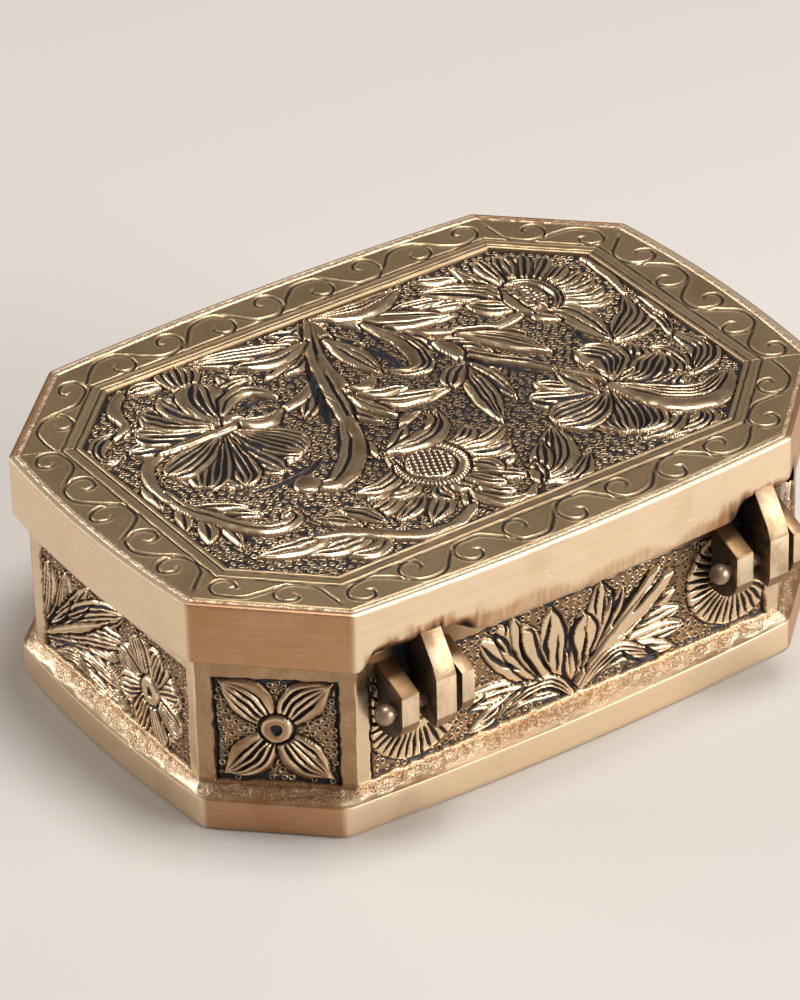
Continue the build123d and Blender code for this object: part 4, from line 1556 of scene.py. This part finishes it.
def lid_stems(field):
    """Stems from one root at the front edge, and the branches along the back and the right."""
    rows = (
        (2.3, 0, -12, -26, -22, -18.4, -30, -15.3, -36, -15.6, -39, -17.6),
        (3, 1, -1, -39.8, -8, -33.2, -14.2, -24, -17.6, -14, -22.4, -6.2, -27.6, 0.2, -30.6, 7),
        (2.4, 0, 5, -25.6, 10, -20.2, 14, -17.4, 19, -15.2, 23.4, -14.6),
        (2.2, 0, 4.6, -27, 6.4, -21, 6.9, -16, 7.8, -11),
        (3.2, (0.2,), -1, -39.8, 2.6, -33, 6.4, -25.4, 9.4, -17, 12.2, -8, 14.8, -1, 16.8, 4),
        (4.6, (-0.25,), 13.8, -3.6, 17.6, 4, 22.4, 9.8, 28, 13.4, 33.4, 11.6),
        (2, 0, -1, -39.8, -0.6, -34, 0.6, -28),
        (1.8, 0, 4, -32.8, 1.4, -36, -0.8, -39.6),
        (1.5, 0, -60, -26, -60.2, -17, -58.6, -9),
        (2.8, 0, 12, 36.4, 17.8, 39.2, 24, 38.9, 29.2, 35.4, 36, 29.6, 43, 27.2),
        (3.2, 1, 57.2, -3, 56.6, 4, 54, 10, 50.6, 16.6, 46.2, 20.1, 41.6, 19.4, 41, 16.8, 43.4, 17.6),
        (2.3, 0, 34, -15.2, 42, -15.2, 50, -15.4, 55, -12.4, 57.6, -6, 58, 1),
    )
    grow(field, rows, root=0.6, fullest=0.55, point=0.35, top=-0.02, joined=True)


def lid_broad_leaves(field):
    """The large leaves in front of the stems."""
    rows = (
        (6.4, (-0.45, 0.45), -5, -36.4, -14, -29.6, -26, -23.2, {"tilt": -0.1}),
        (6, (-0.15, 0.2, 0.55), -2, -39.4, -11.5, -36.6, -23.4, -38.6, {"tilt": -0.14}),
        (4.6, 3, -16.5, -17.6, -22.6, -13.2, -24.2, -7.6),
        (3.2, 0, -16.3, -17.4, -18, -12.4, -17, -8.2, {"top": 0}),
        (5.6, (-0.3, 0.15, 0.5), -22.4, -17, -28.4, -10.2, -33.8, -0.2),
        (3.4, 2, -17, -8, -18.2, 0, -17.9, 9.4),
        (5, (-0.35, 0.05, 0.5), -16.2, -7.2, -13.6, 4, -10.4, 15),
        (4.4, (-0.4, 0.3), -16.4, -7.2, -12.6, -5, -9, -0.9),
        (
            4.4, (0.15, 0.6), -9, -31.4, -11.9, -20.5, -10.4, -12.6, -6.8, -11.4, -2.4, -14.4,
            {"tilt": 0.1, "fullest": 0.62},
        ),
        (5, (-0.3, 0.3), 0.6, -31, -0.9, -23.2, -1.6, -14.2),
        (5.2, (-0.3, 0.25), 7.6, -11, 3, -5.2, -3, -2.4, -9.4, -1.2),
        (3.2, 1, 6.6, -10.6, 3, -8.4, -3, -6.8),
        (2.4, 0, 6.6, -13.4, 3.6, -12, 0.2, -13.8),
        (2.8, 1, 8.4, -11, 6.9, -4.5, 4.6, 0.8),
        (4, (0.1,), 4.6, -32.8, 13, -30.8, 21.4, -33.6, {"tilt": -0.08}),
        # the half sunflower's broad leaves
        (6.2, (-0.4, 0, 0.45), -38.4, -17.4, -34.6, -27.6, -24.8, -34.8),
        (5, 3, -38, -18.6, -34.2, -20.8, -30, -25.6),
        (5.4, (-0.3, 0.3), -39.4, -16.4, -45.2, -9.6, -46, 3),
        (2.8, 1, -38.6, -16.2, -39.8, -12.6, -42.4, -9.2),
        (3.2, (-0.2,), -2.2, 37.2, 1, 39.6, 5.6, 38.6, 8.4, 34, 8.8, 29.6, {"tilt": 0.05}),
    )
    grow(field, rows)
    field.boss((33.0, 10.6), 2.8, top=0.0, dome=0.35)


def half_sunflower(field):
    """The flower at the left, seen from the side, with petals on its outer half."""
    rows = (
        (3.6, 2, -46.5, -13.8, -51, -10.8, -56, -10.4),
        (3.6, 2, -47.5, -16, -52, -14, -56.6, -14.6),
        (3.2, 2, -48, -18.4, -52.4, -17.4, -57, -18.6),
        (3.2, 2, -47.6, -20.8, -52, -20.8, -56.4, -22.2),
        (3.4, 2, -47, -22.8, -51.4, -24, -55.6, -26.4),
        (3.6, 2, -46, -24.6, -49.8, -27.6, -54, -31),
        (3.6, 2, -44.8, -26, -47.6, -30.4, -50.4, -34.8),
        (3.6, 2, -43, -27, -44.8, -32, -46.4, -37.2),
        (3.4, 2, -41, -27.6, -41.2, -33, -41.6, -38.2),
    )
    grow(field, rows, fullest=0.66, root=0.4, point=0.55)
    centre = (-41.4, -20.2)
    arc = arched(centre, 6.3, 6.9, np.linspace(112, 275, 10))
    field.leaf(arc, 1.7, (0.0,), root=0.8, point=0.3, top=-0.05)
    stippled(field, centre, 4.4, 1.12, 21)
    field.leaf(((-38.9, -14.6), (-38.0, -20.0), (-39.2, -25.6)), 2.2, 0, top=0.0)


def sunflower(field):
    """The flower at the middle of the back, with a scored seed head and a beaded ring."""
    rows = (
        (3.8, 2, 5.4, 25.4, 1, 29.2, -3, 33.4),
        (3.4, 2, 6.8, 25.8, 4.2, 30, 1.6, 33),
        (3.8, 2, 3.6, 23.4, -0.8, 25.4, -5.8, 26),
        (3.2, 2, 3, 22.6, 0.2, 25.6, -0.6, 29),
        (3.6, 2, 2.6, 19.6, -2.2, 21.6, -7.4, 21.8),
        (3.6, 2, 2, 17.4, -3.6, 18, -9.8, 16.4),
        (3.4, 1, 2.2, 15.4, -1.4, 14.8, -4.6, 12.2),
        (3.2, 2, 12.5, 25.6, 13.8, 28.6, 13.2, 31.6),
        (2.8, 1, 9.2, 26.2, 9.6, 28.6, 8.4, 31),
        (4.4, 2, 15, 22.8, 19, 24, 23.6, 23.2),
        (4.2, 2, 15.2, 19, 20, 19.6, 26.6, 22.6),
        (3.4, 1, 14.8, 12, 16.4, 17.6, 22.4, 20, 27.4, 19),
    )
    grow(field, rows, fullest=0.64, root=0.45, point=0.6)
    centre = (9.6, 18.6)
    beaded_ring(field, centre, 6.6, 2.1, 1.1, 228, -28)
    crosshatched(field, centre, 4.9, 1.15, 1.08)
    rows = (
        (3, 1, 13.8, 10.4, 9.6, 7.8, 5.4, 4.6),
        (5, (-0.25, 0.2), 14.2, 10.8, 5.8, 10.9, 0.6, 8.4, -2.8, 2.8, {"tilt": 0.1}),
        (1.4, 0, 3.4, 8, 0.6, 6, -0.6, 3.4),
    )
    grow(field, rows, fullest=0.5)


def left_lily(field):
    """The large flower at the left, with wide fluted petals."""
    rows = (
        (6, 3, -35.6, 17.6, -38.6, 27, -40.6, 33.6),
        (12.4, 7, -34.8, 17.2, -32.6, 27, -29.2, 33.8),
        (6.4, 4, -32.6, 17, -26, 15.2, -19.6, 11.2),
        (3.6, 1, -33, 16, -27.5, 11.5, -23.4, 7.4),
        (9.6, 5, -33.4, 18, -27, 21.2, -18.4, 21.4),
        (7, 4, -36.6, 15, -43, 12.6, -48, 6.4),
        (8.4, (-0.65, -0.35, -0.05, 0.3), -37, 15, -41, 8, -37.2, 2.6, {"tilt": 0.08}),
        (9, 5, -36.4, 16.8, -43.6, 18.6, -50.8, 13.4),
        (4.2, 3, -37.6, 18.4, -43.6, 22.6, -49.8, 21.6),
        (
            8.4, (-0.1, 0.15, 0.4, 0.65), -35.8, 17.2, -42.6, 27.4, -49.8, 30.6, -58, 26.4,
            {"tilt": -0.12, "fullest": 0.55, "root": 0.3},
        ),
    )
    grow(field, rows, fullest=0.72, root=0.12, point=0.5, depth=0.6, groove=0.6)
    field.leaf(((-31.8, 17.4), (-31.2, 11.6), (-29.6, 6.4)), 5.4, (-0.45, 0.4), depth=0.6, top=-0.05)
    field.leaf(((-35.8, 14.6), (-34.0, 10.0), (-30.6, 6.2)), 2.2, 0)


def right_lily(field):
    """The large flower at the right, with wide fluted petals all round."""
    rows = (
        (12.6, 7, 34.4, -14, 31.2, -5.8, 27.4, 1.2),
        (5.6, 2, 35, -13.4, 36.4, -5, 34.4, 4.4),
        (9, 5, 36.4, -13.6, 40.8, -5, 43.6, 4),
        (7.4, 4, 36.8, -13.8, 44, -6.4, 49.6, 0.6),
        (6.6, 4, 37, -14.2, 45, -10.2, 53.2, -7.6),
        (5, 3, 40, -16.8, 47.4, -17.6, 54.8, -19.2),
        (8.4, 4, 36, -16.4, 43.6, -19.6, 50.2, -24.8),
        (8, 4, 36, -17.6, 41.2, -24, 44.8, -30.4),
        (5.6, 3, 35.4, -17.8, 38.2, -25, 39.4, -32),
        (5, 2, 33.8, -19.6, 28.4, -25.6, 20.6, -27.2),
        (8.4, (-0.4, 0, 0.35), 34.6, -17.8, 33.6, -25.4, 30.6, -32.6),
    )
    grow(field, rows, fullest=0.74, root=0.12, point=0.5, depth=0.6, groove=0.6)
    field.leaf(((20.2, -19.4), (23.0, -24.2), (28.0, -24.4), (33.2, -19.6)), 3.8, 1, top=0.0)
    field.leaf(((22.4, -14.8), (27.0, -13.2), (32.6, -16.4)), 4.6, (-0.25,), top=0.0)
    field.leaf(((30.0, -17.0), (32.0, -18.2), (34.4, -17.0)), 2.2, 0)
    field.leaf(((33.0, -15.4), (42.0, -15.4), (51.0, -15.4)), 2.2, 0, root=0.8, point=0.5, top=0.0)


def panel_grid(step):
    """Places over the whole panel, in rows that end at its slanting corners."""
    corners = moved_in(lid_corners, panel_inset + 0.05)
    end = corners[7][0]
    side = corners[0][1]
    shoulder = corners[7][1]
    narrow = corners[0][0]
    ups = np.linspace(-side, side, round(2 * side / step) + 1)
    reach = np.interp(np.abs(ups), (0, shoulder, side), (end, end, narrow))
    shares = np.linspace(-1, 1, round(2 * end / step) + 1)
    across = reach[:, None] * shares
    up = np.repeat(ups[:, None], len(shares), axis=1)
    return across, up, reach, side


across, up, reach, panel_side = panel_grid(panel_step)
panel = Carving(across, up, panel_ground)
panel.height = panel.height + 0.06 * waves(panel.spots, 2.4, 5)
lid_leaves(panel)
lid_stems(panel)
stem_scores = (
    (2.4, 8.6, -26, 13.8, -13.6, 17.6, -4),
    (1.8, -27.4, 5, -22, -2.2, -18.4, -9),
    (1.5, 24.5, 3.6, 30, 6.4, 37, 7.2, 44, 6.2),
    (1.6, -4, -25, -6.6, -18, -6, -14.6),
    (1.4, -44, -8, -42, -2, -43, 4),
    (1.4, 18, -22, 24, -20.6, 30, -19.4),
)
gouged(panel, stem_scores, 0.5)
lid_broad_leaves(panel)
half_sunflower(panel)
sunflower(panel)
left_lily(panel)
right_lily(panel)
from_edge = np.minimum(reach[:, None] - np.abs(across), panel_side - np.abs(up))
slanting_away = -beyond(panel.spots, moved_in(lid_corners, panel_inset))[1::2]
from_edge = np.minimum(from_edge, slanting_away.min(axis=0))
gutter = 1 - ease(from_edge + 0.12 * waves(panel.spots, 3.0, 6), 0.1, 0.6)
panel.height = panel.height * (1 - gutter) + np.minimum(panel.height, -0.98) * gutter
panel.black = np.maximum(panel.black, 0.3 * gutter)
panel.bare = np.where(from_edge < 0.8, 0, panel.bare)
panel.height = np.clip(panel.height, -1.5, -0.01)
dark_middle = np.exp(-(((across + 8) / 26) ** 2) - (up / 26) ** 2)
rubbed = np.clip(panel.rubbed(panel_step, 0.13, 0.64) - 0.13 * dark_middle, 0, 1)
rows, columns = across.shape
splits = [round(share * (columns - 1) / panel_strips) for share in range(panel_strips + 1)]
grounds = []
for index in range(panel_strips):
    part = (slice(None), slice(splits[index], splits[index + 1] + 1))
    place = np.stack((across[part], up[part], lid_top + panel.height[part]), axis=-1)
    wide = place.shape[1]
    marks = {"patina_and_shade": rubbed[part], "brazed": np.zeros((rows, wide)), "ground": panel.bare[part]}
    name = f"lid_carving_{index + 1}"
    grounds.append(metal_mesh(name, place.reshape(-1, 3), grid_faces(rows, wide), marks))
lid_rings = punched(
    "lid_ring_punches",
    grounds,
    {"Ring Radius": 0.00054, "Wire Radius": 0.0002, "Spacing": 0.00127},
)
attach(lid_rings, "lid")
for carving in grounds:
    solid_from_face(carving, lid_top - underside_drop)
    carving.data.materials.append(carved_brass)
    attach(carving, "lid")

under_inset = seam_inset + 0.45
low_loop = plan_loop(moved_in(lid_corners, under_inset), side_bow, 1.0, np.full(8, 40))[0]
ring_length = len(low_loop)
under_points = [
    np.column_stack((low_loop, np.full(ring_length, height)))
    for height in (lid_top - plate_thickness + 0.02, lid_top - 1.85)
]
under_faces = grid_faces(2, ring_length, ring=True).tolist()
under_faces.append(list(range(ring_length - 1, -1, -1)))
under_faces.append(list(range(ring_length, 2 * ring_length)))
under = shown("lid_plate_underside", bpy.data.meshes.new("lid_plate_underside"))
under.data.from_pydata(np.concatenate(under_points) / 1000, [], under_faces)
outward(under)
under.data.materials.append(dull_brass)
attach(under, "lid")


# Hinges: faceted lugs cut from thick brass and brazed on, two to the wall and a taller one between
# them to the lid, filed by hand, with a pin through all three that ends in a ball.
def softened_solid(node, width):
    """A copy of a CAD solid with its doubled points merged and its edges filed round."""
    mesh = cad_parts[node].data.copy()
    piece = shown(node + "_filed", mesh)
    work = bmesh.new()
    work.from_mesh(mesh)
    bmesh.ops.remove_doubles(work, verts=work.verts, dist=2e-6)
    flat = math.radians(1.0)
    bmesh.ops.dissolve_limit(work, angle_limit=flat, verts=work.verts, edges=work.edges)
    work.to_mesh(mesh)
    work.free()
    mesh.materials.clear()
    bevel = piece.modifiers.new("filed edges", "BEVEL")
    bevel.width = width / 1000
    bevel.segments = 2
    bevel.limit_method = "ANGLE"
    bevel.angle_limit = math.radians(24)
    graph = bpy.context.evaluated_depsgraph_get()
    finished = bpy.data.meshes.new_from_object(piece.evaluated_get(graph))
    piece.modifiers.clear()
    piece.data = finished
    finished.name = node + "_filed"
    finished.shade_smooth()
    finished.set_sharp_from_angle(angle=math.radians(50))
    return piece


def lug_rubbed(tree, place):
    """Lugs are filed bright in front, with painted shade on their upper facets and undersides as the mesh
    marks it, and dirt in their hollows.
    """
    return rubbed_as_marked(tree, ranged(tree, noise(tree, place, 170.0, 5.0), 0.32, 0.62, 0.7))


def turned_upright(tree, place):
    """Places turned so that strokes run up and down the facets."""
    turn = (math.radians(90), 0.0, math.radians(90))
    return add(tree, "ShaderNodeMapping", {"Vector": place, "Rotation": turn}).outputs["Vector"]


def shaded_towards_wall(tree, place):
    """The sides of the lugs and the pin carry painted shade: dark and uneven all over, and darkest
    towards the wall, where the gaps between the lugs fall into shadow.
    """
    uneven = ranged(tree, noise(tree, place, 260.0, 5.0), 0.35, 0.7, 0.14, 0.55)
    outwards = add(tree, "ShaderNodeSeparateXYZ", {"Vector": place}).outputs["Y"]
    return maths(tree, "MULTIPLY", uneven, ranged(tree, outwards, 0.052, 0.0595, 0.25))


lug_grain = strokes_along(4200.0, 160.0, 0.0004, turned_upright)
lug_brass = metal_material(
    "brass_hinge_lug",
    lug_rubbed,
    lug_grain,
    plain_bump,
    {
        "Bright": (0.93, 0.73, 0.50, 1),
        "Dull": (0.34, 0.20, 0.095, 1),
        "Black": (0.03, 0.018, 0.012, 1),
        "Blotches": 0.4,
        "Blotch Size": 400.0,
        "Gloss Roughness": 0.42,
        "Dull Roughness": 0.56,
    },
    streaks=0.5,
)
shaded_side_brass = metal_material(
    "brass_hinge_side_shaded",
    shaded_towards_wall,
    lug_grain,
    plain_bump,
    {
        "Dull": (0.30, 0.18, 0.09, 1),
        "Black": (0.03, 0.02, 0.013, 1),
        "Blotches": 0.3,
        "Gloss Roughness": 0.38,
        "Dull Roughness": 0.55,
    },
    streaks=0.4,
)
pin_brass = metal_material(
    "brass_hinge_pin",
    shaded_towards_wall,
    lug_grain,
    plain_bump,
    {
        "Bright": (0.80, 0.60, 0.42, 1),
        "Dull": (0.60, 0.43, 0.29, 1),
        "Black": (0.15, 0.095, 0.06, 1),
        "Blotches": 0.3,
        "Gloss Roughness": 0.26,
        "Dull Roughness": 0.4,
    },
    streaks=0.3,
)
top_shade = {"outer_lug": 0.5, "inner_lug": 0.66, "lid_lug": 0.74}
for side in ("right", "left"):
    for lug, body in (("inner_lug", "base"), ("outer_lug", "base"), ("lid_lug", "lid")):
        node = f"hinge_{side}_{lug}"
        piece = softened_solid(node, 0.32)
        piece.data.materials.append(lug_brass)
        piece.data.materials.append(shaded_side_brass)
        patina_and_shade = []
        for face in piece.data.polygons:
            # Faces that look along the pin take the shaded copy of the brass: painted shade.
            face.material_index = 1 if abs(face.normal.x) > 0.9 else 0
            # Painted shade: upper facets darker by lug, and the undersides darker too.
            upper = top_shade[lug] if face.normal.z > 0.2 else 1.0
            patina_and_shade.append(upper if face.normal.z > -0.2 else 0.6)
        layer = piece.data.attributes.new("patina_and_shade", "FLOAT", "FACE")
        layer.data.foreach_set("value", patina_and_shade)
        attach(piece, body)
        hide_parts(node)
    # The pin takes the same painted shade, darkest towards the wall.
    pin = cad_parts[f"hinge_{side}_pin"]
    pin.data.materials.clear()
    pin.data.materials.append(pin_brass)


# Studio: a plain pale floor, soft lamps on both sides, and the camera where the photographer stood.
def plain_paint(name, colour, roughness):
    """A matt surface of one colour."""
    material = bpy.data.materials.new(name)
    material.use_nodes = True
    surface = material.node_tree.nodes["Principled BSDF"]
    surface.inputs["Base Color"].default_value = colour
    surface.inputs["Roughness"].default_value = roughness
    surface.inputs["Specular IOR Level"].default_value = 0.0
    return material


floor_mesh = bpy.data.meshes.new("studio_floor")
floor_corners = [(x, y, -0.0002) for x, y in ((-4, -4), (4, -4), (4, 4), (-4, 4))]
floor_mesh.from_pydata(floor_corners, [], [(0, 1, 2, 3)])
floor_mesh.materials.append(plain_paint("studio_floor_paint", (0.62, 0.58, 0.54, 1), 0.7))
studio_floor = shown("studio_floor", floor_mesh)


def soft_lamp(name, place, size, watts):
    """A square softbox that points at the box."""
    light = bpy.data.lights.new(name, "AREA")
    light.shape = "RECTANGLE"
    light.size = size[0]
    light.size_y = size[1]
    light.energy = watts
    lamp = shown(name, light)
    heading = Vector((0, 0, 0.03)) - Vector(place)
    lamp.rotation_euler = heading.to_track_quat("-Z", "Y").to_euler()
    lamp.location = place


soft_lamp("right_softbox", (-0.66, 0.86, 0.36), (0.9, 0.5), 13.5)
soft_lamp("left_softbox", (0.72, -0.80, 0.36), (0.7, 0.45), 6.0)
soft_lamp("top_softbox", (-0.15, 0.05, 1.05), (0.35, 0.35), 8.0)

world = bpy.data.worlds.new("studio_air")
bpy.context.scene.world = world
world.use_nodes = True
air = world.node_tree.nodes["Background"].inputs
air["Color"].default_value = (0.20, 0.185, 0.17, 1)
air["Strength"].default_value = 1.0

# The camera looks down over the hinges and one short side, from a little over a metre away
view_heading = math.radians(146.05)
view_height = math.radians(33.30)
view_roll = math.radians(-1.48)
view_distance = 1161.0
view_centre = (-4.23, 24.40)
focal_pixels = 5731.1
picture_height = 1000.0
level = math.cos(view_height)
away = (math.sin(view_heading) * level, -math.cos(view_heading) * level, math.sin(view_height))
back = Vector(away)
right = Vector((0, 0, 1)).cross(back).normalized()
upward = back.cross(right)
camera_right = right * math.cos(view_roll) + upward * math.sin(view_roll)
camera_up = upward * math.cos(view_roll) - right * math.sin(view_roll)
camera_place = camera_right * view_centre[0] + camera_up * view_centre[1] + back * view_distance
lens = bpy.data.cameras.new("view")
lens.sensor_fit = "VERTICAL"
lens.sensor_height = 36.0
lens.lens = focal_pixels * lens.sensor_height / picture_height
lens.clip_start = 0.05
lens.clip_end = 20.0
camera = shown("view", lens)
turned = Matrix((camera_right, camera_up, back)).transposed().to_4x4()
camera.matrix_world = Matrix.Translation(camera_place / 1000) @ turned
bpy.context.scene.camera = camera
bpy.context.scene.view_settings.view_transform = "Standard"
